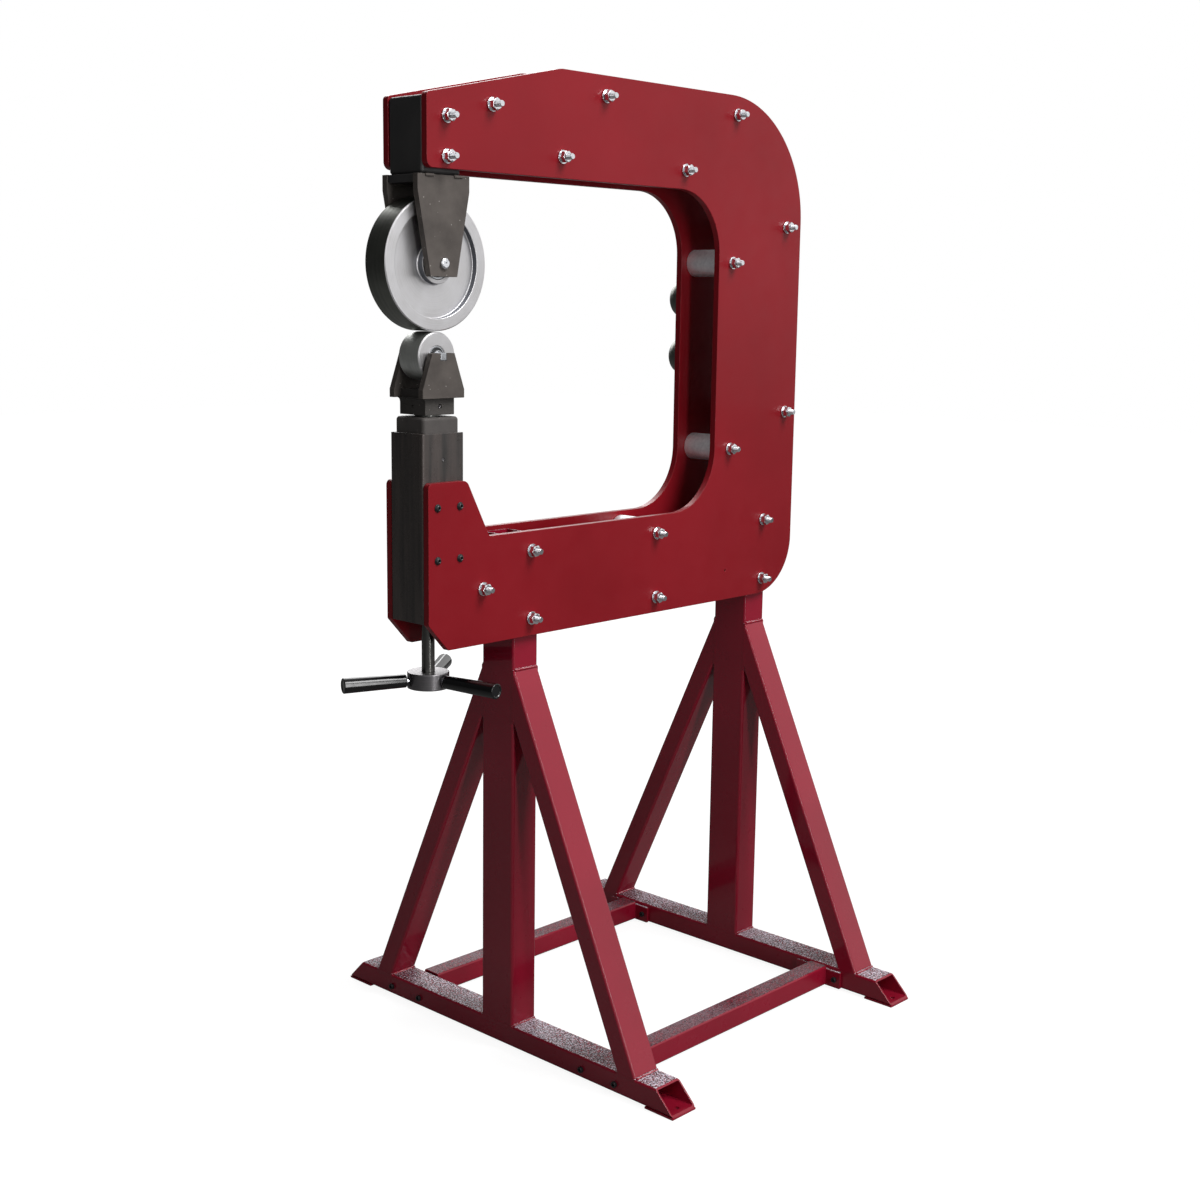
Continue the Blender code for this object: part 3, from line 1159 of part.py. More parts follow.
def make_spare_anvils():
    """Two crowned anvils on pegs that are screwed to the left side plate."""
    face = PLATE_OUTER_Y + FIT_GAP
    wheel_start = face + PEG_SHOULDER_LENGTH + FIT_GAP
    wheel_end = wheel_start + ANVIL_WIDTH
    knob_start = wheel_end + FIT_GAP
    profile = [
        (0, knob_start + PEG_KNOB_LENGTH),
        (PEG_KNOB_RADIUS, knob_start + PEG_KNOB_LENGTH),
        (PEG_KNOB_RADIUS, knob_start),
        (PEG_RADIUS, knob_start),
        (PEG_RADIUS, face + PEG_SHOULDER_LENGTH),
        (PEG_SHOULDER_RADIUS, face + PEG_SHOULDER_LENGTH),
        (PEG_SHOULDER_RADIUS, face),
        (BOLT_RADIUS, face),
        (BOLT_RADIUS, face - PLATE_THICKNESS),
        (0, face - PLATE_THICKNESS),
    ]
    middle = (wheel_start + wheel_end) / 2
    half = ANVIL_WIDTH / 2
    bore = [(PEG_RADIUS + FIT_GAP, -half), (PEG_RADIUS + FIT_GAP, half)]
    wheel = crown_points(ANVIL_RADIUS, ANVIL_WIDTH, SPARE_CROWN, ANVIL_EDGE, 4) + bore
    for index, (across, up) in enumerate(SPARES):
        peg_name, wheel_name = f"spare_peg_{index + 1}", f"spare_anvil_{index + 1}"
        peg_place, place = (across, 0, up), (across, middle, up)
        turned_piece(peg_name, profile, BLACK_STEEL, peg_place, ALONG_Y, MACHINE, SMALL_SEGMENTS, False)
        turned_piece(wheel_name, wheel, BRIGHT_STEEL, place, ALONG_Y, MACHINE, TURNED_SEGMENTS)


make_side_plates()
make_frame_bolts()
make_head_block()
make_fork()
make_upper_wheel()
make_anvil()
make_cradle()
make_ram()
make_sleeve()
make_adjusting_screw()
make_handles()
make_posts()
make_beams()
make_braces()
make_rails()
make_spare_anvils()
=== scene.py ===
"""Looks of the english wheel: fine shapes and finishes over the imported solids.

X runs back from the C-frame's open end, Y along the wheels' axles and Z up. Places along X are
given from the frame plates' front edge and shifted by FRONT. Metres.
"""
import math

import bmesh
import bpy
from mathutils import Matrix, Vector, noise


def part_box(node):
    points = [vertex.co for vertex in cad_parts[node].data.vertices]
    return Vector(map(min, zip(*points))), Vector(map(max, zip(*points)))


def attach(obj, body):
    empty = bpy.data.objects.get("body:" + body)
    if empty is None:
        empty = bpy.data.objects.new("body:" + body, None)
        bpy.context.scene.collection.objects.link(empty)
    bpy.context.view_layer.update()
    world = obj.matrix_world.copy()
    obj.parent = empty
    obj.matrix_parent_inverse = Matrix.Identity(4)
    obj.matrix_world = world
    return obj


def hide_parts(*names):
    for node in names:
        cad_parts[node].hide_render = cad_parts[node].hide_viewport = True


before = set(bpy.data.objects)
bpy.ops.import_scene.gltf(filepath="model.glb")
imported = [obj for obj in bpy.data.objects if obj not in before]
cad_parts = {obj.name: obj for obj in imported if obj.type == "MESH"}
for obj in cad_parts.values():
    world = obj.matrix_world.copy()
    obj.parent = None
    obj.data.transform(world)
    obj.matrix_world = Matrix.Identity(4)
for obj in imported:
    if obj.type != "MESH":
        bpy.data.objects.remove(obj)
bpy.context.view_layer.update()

# Sizes read from the solids
PLATE_LOW, PLATE_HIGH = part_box("right_side_plate")
FRONT = PLATE_LOW.x
PLATE_OUTER_Y = -PLATE_LOW.y
PLATE_INNER_Y = -PLATE_HIGH.y
PLATE_THICKNESS = PLATE_OUTER_Y - PLATE_INNER_Y
FRAME_DEPTH = PLATE_HIGH.x - PLATE_LOW.x
FRAME_BOTTOM_Z = PLATE_LOW.z
FRAME_TOP_Z = PLATE_HIGH.z
WHEEL_LOW, WHEEL_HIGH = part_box("upper_wheel")
WHEEL_Z = (WHEEL_LOW.z + WHEEL_HIGH.z) / 2
WHEEL_RADIUS = (WHEEL_HIGH.z - WHEEL_LOW.z) / 2
ANVIL_LOW, ANVIL_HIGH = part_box("anvil_wheel")
ANVIL_Z = (ANVIL_LOW.z + ANVIL_HIGH.z) / 2
ANVIL_RADIUS = (ANVIL_HIGH.z - ANVIL_LOW.z) / 2
ANVIL_WIDTH = ANVIL_HIGH.y - ANVIL_LOW.y
SLEEVE_LOW, SLEEVE_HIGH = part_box("ram_sleeve")
AXIS_X = (SLEEVE_LOW.x + SLEEVE_HIGH.x) / 2 - FRONT
RAM_LOW, RAM_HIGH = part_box("ram")
HUB_LOW, HUB_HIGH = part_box("hand_hub")
HUB_RADIUS = (HUB_HIGH.y - HUB_LOW.y) / 2
HANDLE_Z = (HUB_LOW.z + HUB_HIGH.z) / 2

# Side plates
LOWER_ARM_TOP_Z = FRAME_BOTTOM_Z + 0.1745
THROAT_TOP_Z = LOWER_ARM_TOP_Z + 0.564
THROAT_DEPTH = 0.6894
THROAT_RADIUS = 0.109
NOSE_HEIGHT = 0.108
NOSE_RADIUS = 0.008
NOSE_BOTTOM_RADIUS = 0.012
PEAK_X = 0.283
PEAK_RADIUS = 0.060
TOP_CORNER_RADIUS = 0.213
BOTTOM_CORNER_RADIUS = 0.103
EAR_HEIGHT = 0.092
EAR_LENGTH = 0.0807
EAR_SLOPE_LENGTH = 0.048
EAR_FRONT_RADIUS = 0.009
EAR_BACK_RADIUS = 0.014
TOE_CHAMFER_LENGTH = 0.0404
TOE_CHAMFER_HEIGHT = 0.0438
SMALL_CORNER_RADIUS = 0.004
PLATE_EDGE = 0.0008
OILER_HOLE_X = 0.729
OILER_HOLE_Z = 0.7806
OILER_HOLE_RADIUS = 0.0018

# Fasteners
BOLT_RADIUS = 0.005
BOLT_PITCH = 0.0015
BOLT_HEAD_ACROSS = 0.017
BOLT_HEAD_HEIGHT = 0.0068
BOLT_END_LENGTH = 0.011
THREAD_ROWS = 4  # for each pitch
THREAD_TIP = 1.2  # length of the chamfered tip, of the thread's depth
NUT_HEIGHT = 0.010
NUT_TURN = 37  # degrees from one bolt of the frame to the next
HEX_SEGMENTS = 48
HEX_CONE = 0.95  # radius of the chamfer's start, of half the width across flats
HEX_CHAMFER = 28  # degrees
WASHER_RADIUS = 0.011
WASHER_THICKNESS = 0.0024
SPACER_RADIUS = 0.02415
BUTTON_HEAD = (0.0064, 0.004, 0.004, 0.0022)  # radius, height, socket, crown
SLEEVE_SCREW_RADIUS = 0.003
SLEEVE_SCREW_SPACING_X = 0.0465
SLEEVE_SCREW_TOP_DROP = 0.039
SLEEVE_SCREW_SPACING_Z = 0.0822
CAP_HEAD = (0.0052, 0.005, 0.005)  # radius, height, socket
SOCKET_DEPTH = 0.6  # of the head's height
FLANGE_NUT = (0.010, 0.005, 0.0027)  # across flats, height, bore

# Gaps and small edges
FIT_GAP = 0.0003
KEEN_EDGE = 0.0003
RACE_EDGE = 0.0004
FINE_EDGE = 0.0005
SOFT_EDGE = 0.001
SAME_SPOT = 1e-6  # corners that are nearer to each other become one
NO_SIZE = 1e-7  # smaller edges and radii count as none
HOLE_CLEAR = 0.001  # step by which a drill starts outside and ends beyond a wall
FEWEST_ARC_STEPS = 3
MITRE_LIMIT = 0.5
SHARP_ANGLE = math.radians(35)  # edges that are steeper stay sharp

# Fork and head block
HEAD_BLOCK_EDGE = 0.005
FORK_GAP = 0.060
FORK_ARM_THICKNESS = 0.011
FORK_TOP_THICKNESS = 0.012
FORK_TOP_ABOVE_AXLE = 0.131
HEAD_BLOCK_DROP = 0.0034
FORK_SHOULDER_HEIGHT = 0.0235
FORK_TIP_LENGTH = 0.0535
AXLE_HEAD_RADIUS = 0.0085
AXLE_HEAD_HEIGHT = 0.005
AXLE_HEAD_EDGE = 0.0012
AXLE_HEAD_SHOULDER = 0.7  # of its height
AXLE_HEAD_FACE = 0.72  # of its radius
AXLE_HEAD_DIMPLE = (0.25, 0.85)  # of its radius and height
AXLE_NUT_HEIGHT = 0.008
AXLE_RADIUS = 0.010
TACK_LENGTH = 0.018
TACK_SPACING = 0.0575
TACK_DROP = 0.0015

# Welds
WELD_RADIUS = 0.0026
WELD_SIDES = 10
WELD_RIPPLE = 0.9 * WELD_RADIUS
WELD_RIPPLE_DEPTH = 0.10
WELD_RIPPLE_STEPS = 3
WELD_WANDER = 0.18
WELD_WANDER_PACE = 90
WELD_WANDER_SLICE = 0.3
WELD_TAPER = 0.35

# Upper wheel
WHEEL_HALF = 0.024
WHEEL_RECESS_RADIUS = 0.0828
WHEEL_RECESS_DEPTH = 0.009
WHEEL_BOSS_RADIUS = 0.0305
WHEEL_BOSS_STAND = 0.0025
WHEEL_BOSS_EDGE = 0.0008
WHEEL_BOSS_DRAFT = 0.0005
WHEEL_BOSS_FILLET = 0.002
WHEEL_RECESS_DRAFT = 0.0006
WHEEL_RECESS_FILLET = 0.0012
WHEEL_EDGE = 0.0016
TREAD_SKIN = 0.00006
TREAD_EDGE = 0.0002
TREAD_DEPTH = 4 * TREAD_SKIN
BEARING_RADIUS = 0.0235
BEARING_WIDTH = 0.014
BEARING_NOSE_RADIUS = 0.0145
RACE_SHARE = 0.62  # where the seal ends, from the nose to the outside
SEAL_GAP = 0.0001
SEAL_EDGE = 0.0002
SEAL_DROP = 0.0005

# Anvil and cradle
ANVIL_CROWN = 0.0008
CROWN_STEPS = 16
ANVIL_EDGE = 0.0018
FACE_RECESS = 0.0004
ANVIL_RECESS_DEPTH = 0.0006
ANVIL_BEARING_RADIUS = 0.016
ANVIL_BEARING_WIDTH = 0.009
ANVIL_BEARING_NOSE = 0.0095
ANVIL_SHAFT_RADIUS = 0.0075
ANVIL_FLAT_WIDTH = 0.012
CRADLE_GAP = 0.057
CHEEK_THICKNESS = 0.011
CHEEK_LENGTH = 0.085
CHEEK_TOP_LENGTH = 0.045
CHEEK_BAND = 0.013
CHEEK_HEIGHT = 0.069
CHEEK_TOP_ABOVE_AXIS = 0.0055
CRADLE_BLOCK_LENGTH = 0.0595
CRADLE_BLOCK_WIDTH = 0.060
CRADLE_BLOCK_DROP = 0.026
CRADLE_BLOCK_RISE = 0.013
CRADLE_FILLET = 0.006
CRADLE_HOLE_RADIUS = 0.004
CRADLE_HOLE_DEPTH = 0.010
CRADLE_SET_SCREW = (0.0034, 0.0012, 0.003)  # radius, drop below the hole's mouth, socket
CRADLE_FRONT_HOLE_RADIUS = 0.0024
SPIGOT_SUNK = 0.010
SPIGOT_RADIUS = 0.020

# Ram, sleeve and hand screw
SLEEVE_END_WALL = 0.0055
SLEEVE_SIDE_WALL = 0.0035
SLEEVE_CORNER = 0.003
SLEEVE_PIN_HOLE_RADIUS = 0.0033
SLEEVE_SET_SCREW = (0.0027, 0.0006, 0.0024)  # radius, drop below the hole's mouth, socket
SLEEVE_PIN_HOLE_DROP = 0.041
RAM_CORNER = 0.0065
RAM_TOP_EDGE = 0.0055
RAM_SIDE_WALL = 0.006
RAM_CAP_THICKNESS = 0.011
SCREW_RADIUS = 0.0105
HUB_EDGE = 0.0012
HANDLE_COUNT = 3
HANDLE_FIRST_ANGLE = 37.7
HANDLE_REACH = 0.1414
HANDLE_COUNTERSINK_DEPTH = 0.0015
HANDLE_ROD_SUNK = 0.0016
HANDLE_ROD_IN_GRIP = 0.070
GRIP_BORE_DEPTH = 0.0695
GRIP_START = 0.0378
GRIP_INNER_RADIUS = 0.0107
GRIP_OUTER_RADIUS = 0.0125
GRIP_EDGE = 0.0015
GRIP_CUP_RADIUS = 0.0085
GRIP_CUP_DEPTH = 0.0012
HANDLE_ROD_RADIUS = 0.005
HANDLE_COUNTERSINK = 0.0075

# Stand
PAD_THICKNESS = 0.0035
PAD_LENGTH = 0.060
TUBE_WALL = 0.003
TUBE_CORNER = 0.005
RAIL_CORNER = 0.004
BRACE_DEPTH = 0.038
BRACE_FOOT_Y = 0.3236
BRACE_TOP_Z = 0.668
FLANGE_LENGTH = 0.101
FLANGE_HEIGHT = 0.032
FLANGE_THICKNESS = 0.005
FLANGE_CORNER = 0.002
FLANGE_SCREW_SPACING = 0.0755
RAIL_Y = 0.242
ANCHOR_HOLE_RADIUS = 0.0048
ANCHOR_HOLE_INSET = 0.0165
SEAM_WIDTH = 0.0075
SEAM_LAP = 0.0006
SEAM_STAND = 0.00012

# Spare anvils
SPARE_CROWN = 0.0085
SPARE_BORE = 0.0073
PEG_SHOULDER_LENGTH = 0.003
PEG_KNOB_LENGTH = 0.009
PEG_KNOB_RADIUS = 0.012
PEG_KNOB_EDGE = 0.0025
PEG_RADIUS = 0.0070

# Finishes
WALL_ROUGHNESS = 1.5  # of a turned face's own
# painted shade of the dark pits between the painted glints on faces that look up
PAINTED_PIT_SHADE = (0.048, 0.019, 0.025, 1)
TOP_COAT = 0.25  # gloss of the plates' upper edges
SPECKLE_FLOOR = 0.025  # no painted glints or painted pit shade inside the open beams
SPECKLE_FLOOR_BLUR = 0.003
FACING_UP = (0.80, 0.95)  # cosines between which a face starts to count as looking up
FACING_AXIS = (0.15, 0.45)  # and as square to the piece's axis
NOISE_RANGE = (0.3, 0.7)  # the values that a noise usually has
PLASTIC_DEEP = 0.6  # of its tint

# Studio, its places from the plates' front edge
SKY_LIGHT = 0.10
DARK_SIDE = (-0.69, 0.72, 0.0)  # where the room has no white wall
DARK_SIDE_EDGES = (-0.25, 0.65)  # cosines between which the wall fades out
DARK_SIDE_LIGHT = 0.06
FLOOR_SIZE = 30.0
FLOOR_COLOUR = 0.18
FLOOR_GLOW_NEAR = 0.91
FLOOR_GLOW_FAR = 1.0
FLOOR_FADE = (0.7, 2.4)
FLOOR_MIRROR = 0.05  # what polished parts see of it
FLOOR_ROUGHNESS = 0.9
LAMP_TARGET = (0.45, 0, 0.9)
LAMPS = {  # place, size and power
    "key": ((1.5, -4.2, 5.8), (3.0, 3.0), 360),
    "camera_side": ((-0.35, -3.2, 1.5), (0.35, 3.0), 32),
    "back": ((1.9, 3.0, 3.0), (2.6, 2.6), 80),
    "left_fill": ((-3.2, -1.2, 2.4), (2.0, 2.0), 12),
}

# Camera fitted to the photograph, from the plates' front edge
CAMERA_PLACE = (-1.6919, -1.9951, 1.2682)
CAMERA_YAW = -46.424
CAMERA_PITCH = -10.217
CAMERA_ROLL = 0.70
CAMERA_LENS = 50.40
CAMERA_SHIFT = (0.0124, 0.00475)
CAMERA_SENSOR = 36

UPRIGHT = Matrix.Rotation(math.radians(90), 4, "X")  # an outline's second axis becomes +Z
ALONG_Y = Matrix.Rotation(math.radians(-90), 4, "X")  # local Z becomes +Y
TO_RIGHT = Matrix.Rotation(math.radians(90), 4, "X")  # local Z becomes -Y
ALONG_X = Matrix.Rotation(math.radians(90), 4, "Y")  # local Z becomes +X
TO_FRONT = Matrix.Rotation(math.radians(-90), 4, "Y")  # local Z becomes -X
DOWN = Matrix.Rotation(math.pi, 4, "X")
AS_IS = Matrix.Identity(4)
SIDES = (("right", -1), ("left", 1))


def at(x, y, z):
    """A shift to a place whose X counts from the plates' front edge."""
    return Matrix.Translation((FRONT + x, y, z))


def raised(height):
    """A shift along local Z."""
    return Matrix.Translation((0, 0, height))


# Shapes


def rounded(corners, step=6.0):
    """Turns corners (across, up, radius) into an outline with arcs in place of the corners."""
    points = []
    for index, (across, up, radius) in enumerate(corners):
        here = Vector((across, up))
        if radius == 0:
            points.append(here)
            continue
        back = (Vector(corners[index - 1][:2]) - here).normalized()
        ahead = (Vector(corners[(index + 1) % len(corners)][:2]) - here).normalized()
        half = back.angle(ahead) / 2
        centre = here + (back + ahead).normalized() * (radius / math.sin(half))
        start = here + back * (radius / math.tan(half)) - centre
        sweep = start.angle_signed(here + ahead * (radius / math.tan(half)) - centre)
        count = max(FEWEST_ARC_STEPS, round(abs(math.degrees(sweep)) / step))
        for part in range(count + 1):
            turned_start = start.copy()
            turned_start.rotate(Matrix.Rotation(-sweep * part / count, 2))
            points.append(centre + turned_start)
    return points


def rounded_box(width, height, radius, step=15.0):
    signs = ((-1, -1), (1, -1), (1, 1), (-1, 1))
    return rounded([(across * width / 2, up * height / 2, radius) for across, up in signs], step)


def mirrored(half):
    """Corners of one half of an outline, followed by those of its other half."""
    return half + [(-across, up, radius) for across, up, radius in reversed(half)]


def circle(across, up, radius, segments=24):
    angles = [math.tau * index / segments for index in range(segments)]
    return [Vector((across + radius * math.cos(a), up + radius * math.sin(a))) for a in angles]


def signed_area(loop):
    return sum(a.cross(b) for a, b in zip(loop, loop[1:] + loop[:1])) / 2


def inset(loop, distance):
    """The loop moved to its left by a distance, with mitred corners."""
    moved = []
    for index, here in enumerate(loop):
        back = (here - loop[index - 1]).normalized()
        ahead = (loop[(index + 1) % len(loop)] - here).normalized()
        left = (Vector((-back.y, back.x)) + Vector((-ahead.y, ahead.x))).normalized()
        stretch = max(MITRE_LIMIT, left.dot(Vector((-ahead.y, ahead.x))))
        moved.append(here + left * (distance / stretch))
    return moved


def as_mesh(shape):
    mesh = bpy.data.meshes.new("shape")
    shape.to_mesh(mesh)
    shape.free()
    return mesh


def finished(shape):
    """The mesh of a bmesh, welded, with its faces out."""
    bmesh.ops.remove_doubles(shape, verts=shape.verts, dist=SAME_SPOT)
    bmesh.ops.dissolve_degenerate(shape, edges=shape.edges, dist=NO_SIZE)
    bmesh.ops.recalc_face_normals(shape, faces=shape.faces)
    return as_mesh(shape)


def bridge(shape, lower, upper):
    for index, (low, high) in enumerate(zip(lower, upper)):
        nxt = (index + 1) % len(lower)
        shape.faces.new((low, lower[nxt], upper[nxt], high))


def slab(loops, thickness, edge=FINE_EDGE, steps=3, hole_edge=None):
    """A flat outline with holes, its edges rounded. The first loop is the outside."""
    shape = bmesh.new()
    lids = {0: [], 2 * steps + 1: []}
    turns = [math.pi / 2 * part / steps for part in range(steps + 1)]
    for number, loop in enumerate(loops):
        if (signed_area(loop) > 0) != (number == 0):
            loop = loop[::-1]
        reach = hole_edge if number and hole_edge is not None else edge
        levels = [(reach * (1 - math.cos(t)), thickness / 2 - reach * (1 - math.sin(t))) for t in turns]
        rings = []
        for shrink, height in [(shrink, -height) for shrink, height in reversed(levels)] + levels:
            points = inset(loop, shrink) if shrink > 0 else loop
            rings.append([shape.verts.new((point.x, point.y, height)) for point in points])
        for lower, upper in zip(rings, rings[1:]):
            bridge(shape, lower, upper)
        for level, edges in lids.items():
            rim = rings[level]
            edges += [shape.edges.get(pair) for pair in zip(rim, rim[1:] + rim[:1])]
    for level, edges in lids.items():
        side = 1 if level else -1
        bmesh.ops.triangle_fill(shape, use_beauty=True, edges=edges, normal=(0, 0, side))
    return finished(shape)


def polar(reach, turn, height):
    return reach * math.cos(turn), reach * math.sin(turn), height


def spun(section_at, segments):
    """Spins a section round local Z. section_at makes its (radius, height) pairs for each turn."""
    shape = bmesh.new()
    rings = []
    for index in range(segments):
        turn = math.tau * index / segments
        section = section_at(turn)
        rings.append([shape.verts.new(polar(radius, turn, height)) for radius, height in section])
    for here, after in zip(rings, rings[1:] + rings[:1]):
        for index, (radius, _) in enumerate(section):
            nxt = (index + 1) % len(section)
            if max(radius, section[nxt][0]) > NO_SIZE:
                shape.faces.new((here[index], after[index], after[nxt], here[nxt]))
    return finished(shape)


def turned(profile, segments=96):
    """Turns a closed profile (radius, height, corner radius) about local Z."""
    section = [tuple(point) for point in rounded(profile, 15.0)]
    return spun(lambda turn: section, segments)


def ring(inner, outer, low, high, edge=FINE_EDGE, segments=96):
    """A plain ring with rounded edges."""
    corners = [(inner, low, edge), (outer, low, edge), (outer, high, edge), (inner, high, edge)]
    return turned(corners, segments)


def rod(radius, low, high, edge=FINE_EDGE, segments=48):
    return turned([(0, low, 0), (radius, low, edge), (radius, high, edge), (0, high, 0)], segments)


def hex_radius(across, turn):
    """How far a hexagon's outline is from its middle."""
    wedge = (turn + math.pi / 6) % (math.pi / 3) - math.pi / 6
    return across / 2 / math.cos(wedge)


def hex_piece(across, height, bore):
    """A hexagon with chamfered corners on both faces, bored or not."""
    cone = across / 2 * HEX_CONE

    def section(turn):
        corner = hex_radius(across, turn)
        drop = (corner - cone) * math.tan(math.radians(HEX_CHAMFER))
        outside = [(cone, height), (corner, height - drop), (corner, drop), (cone, 0)]
        return [(bore, height)] + outside + [(bore, 0)]

    return spun(section, HEX_SEGMENTS)


def socket_head(radius, height, socket, crown=0.0):
    """A round screw head standing on zero, with a hexagon socket and a domed or flat top."""
    floor_height = height - height * SOCKET_DEPTH
    edge = min(SOFT_EDGE, height / 4)
    rim = hex_radius(socket, math.pi / 6) + edge / 2
    shares = (0, 0.25, 0.5, 0.75, 1)
    dome = [(rim + (radius - edge - rim) * share, height - crown * share * share) for share in shares]
    outside = dome + [(radius, height - crown - edge), (radius, 0), (0, 0)]

    def section(turn):
        flat = hex_radius(socket, turn)
        return [(0, floor_height), (flat, floor_height), (flat, height - edge / 2)] + outside

    return spun(section, HEX_SEGMENTS)


def stacked(rings):
    """A closed skin over a stack of rings of points."""
    shape = bmesh.new()
    rows = [[shape.verts.new(point) for point in points] for points in rings]
    for lower, upper in zip(rows, rows[1:]):
        bridge(shape, lower, upper)
    shape.faces.new(rows[-1])
    shape.faces.new(rows[0][::-1])
    return finished(shape)


def threaded_rod(radius, low, high, pitch, segments=20):
    """A rod with a helical thread and a chamfered tip at its high end."""
    depth = pitch / 2
    rows = int((high - low) / pitch * THREAD_ROWS)
    rings = []
    for row in range(rows + 1):
        height = low + (high - low) * row / rows
        chamfer = THREAD_TIP * depth - (high - height)
        points = []
        for index in range(segments):
            share = index / segments
            cut = depth * abs(2 * ((height / pitch - share) % 1.0) - 1)
            points.append(polar(radius - max(cut, chamfer), math.tau * share, height))
        rings.append(points)
    return stacked(rings)


def weld_bead(start, end, seed):
    """A rippled fillet weld along a straight line."""
    start, end = Vector(start), Vector(end)
    length = (end - start).length
    along = (end - start).normalized()
    across = along.orthogonal().normalized()
    over = along.cross(across)
    count = max(2, int(length / (WELD_RIPPLE / WELD_RIPPLE_STEPS)))
    rings = []
    for part in range(count + 1):
        distance = length * part / count
        wave = 1 + WELD_RIPPLE_DEPTH * math.cos(math.tau * distance / WELD_RIPPLE)
        wander = noise.noise(Vector((distance * WELD_WANDER_PACE, seed, WELD_WANDER_SLICE)))
        taper = WELD_TAPER if part in (0, count) else 1.0
        reach = WELD_RADIUS * wave * (1 + WELD_WANDER * wander) * taper
        turns = [math.tau * side / WELD_SIDES for side in range(WELD_SIDES)]
        spot = start.lerp(end, part / count)
        rings.append([spot + (across * math.cos(t) + over * math.sin(t)) * reach for t in turns])
    return stacked(rings)


def joined(*placed):
    """One mesh from (mesh, matrix) pairs."""
    shape = bmesh.new()
    for mesh, matrix in placed:
        before = len(shape.verts)
        shape.from_mesh(mesh)
        shape.verts.ensure_lookup_table()
        bmesh.ops.transform(shape, matrix=matrix, verts=shape.verts[before:])
    return as_mesh(shape)


def box_mesh(length, width, height, edge=SOFT_EDGE):
    """A block with rounded edges, made as a slab of its XY outline."""
    return slab([rounded_box(length, width, edge)], height, edge)


def tube_section(width, depth, corner):
    """The outside and the inside of a tube of the stand."""
    inside = rounded_box(width - 2 * TUBE_WALL, depth - 2 * TUBE_WALL, max(corner - TUBE_WALL, corner / 4))
    return [rounded_box(width, depth, corner), inside]


def drill_hole(target, place, radius, depth):
    """Cuts a round blind hole, mouth at the place and going along its local Z."""
    bit = bpy.data.objects.new("bit", rod(radius, -2 * HOLE_CLEAR, depth, edge=0, segments=32))
    bpy.context.scene.collection.objects.link(bit)
    bit.matrix_world = place
    step = target.modifiers.new("hole", "BOOLEAN")
    step.object = bit
    step.solver = "EXACT"
    bpy.context.view_layer.update()
    graph = bpy.context.evaluated_depsgraph_get()
    cut = bpy.data.meshes.new_from_object(target.evaluated_get(graph))
    target.modifiers.remove(step)
    target.data = cut
    bpy.data.objects.remove(bit)
    cut.shade_smooth()
    cut.set_sharp_from_angle(angle=SHARP_ANGLE)


# Materials


class Graph:
    """Makes and links the nodes of one tree."""

    def __init__(self, tree):
        self.tree = tree

    def node(self, kind, settings=(), **inputs):
        made = self.tree.nodes.new(kind)
        for name, value in dict(settings).items():
            setattr(made, name, value)
        for name, value in inputs.items():
            self.feed(made.inputs[name.replace("_", " ")], value)
        return made

    def feed(self, socket, value):
        if isinstance(value, bpy.types.NodeSocket):
            self.tree.links.new(value, socket)
        else:
            socket.default_value = value

    def sums(self, operation, *values, kind="ShaderNodeMath"):
        """A node that works something out from its values in turn."""
        made = self.node(kind, {"operation": operation})
        for socket, value in zip(made.inputs, values):
            self.feed(socket, value)
        return made.outputs["Value"]

    def times(self, first, second):
        return self.sums("MULTIPLY", first, second)

    def span(self, value, low, high, start=0.0, end=1.0):
        """Maps start to low and end to high, which are numbers or sockets."""
        ends = {"From_Min": start, "From_Max": end, "To_Min": low, "To_Max": high}
        return self.node("ShaderNodeMapRange", Value=value, **ends).outputs[0]

    def spread(self, texture, low=0.0, high=1.0):
        """Maps the values that a noise usually has."""
        return self.span(texture, low, high, *NOISE_RANGE)

    def ray_kinds(self):
        """1 for rays that show the backdrop itself, and 1 for mirror rays."""
        path = self.node("ShaderNodeLightPath").outputs
        shown = self.sums("MAXIMUM", path["Is Camera Ray"], path["Is Transmission Ray"])
        return shown, path["Is Glossy Ray"]


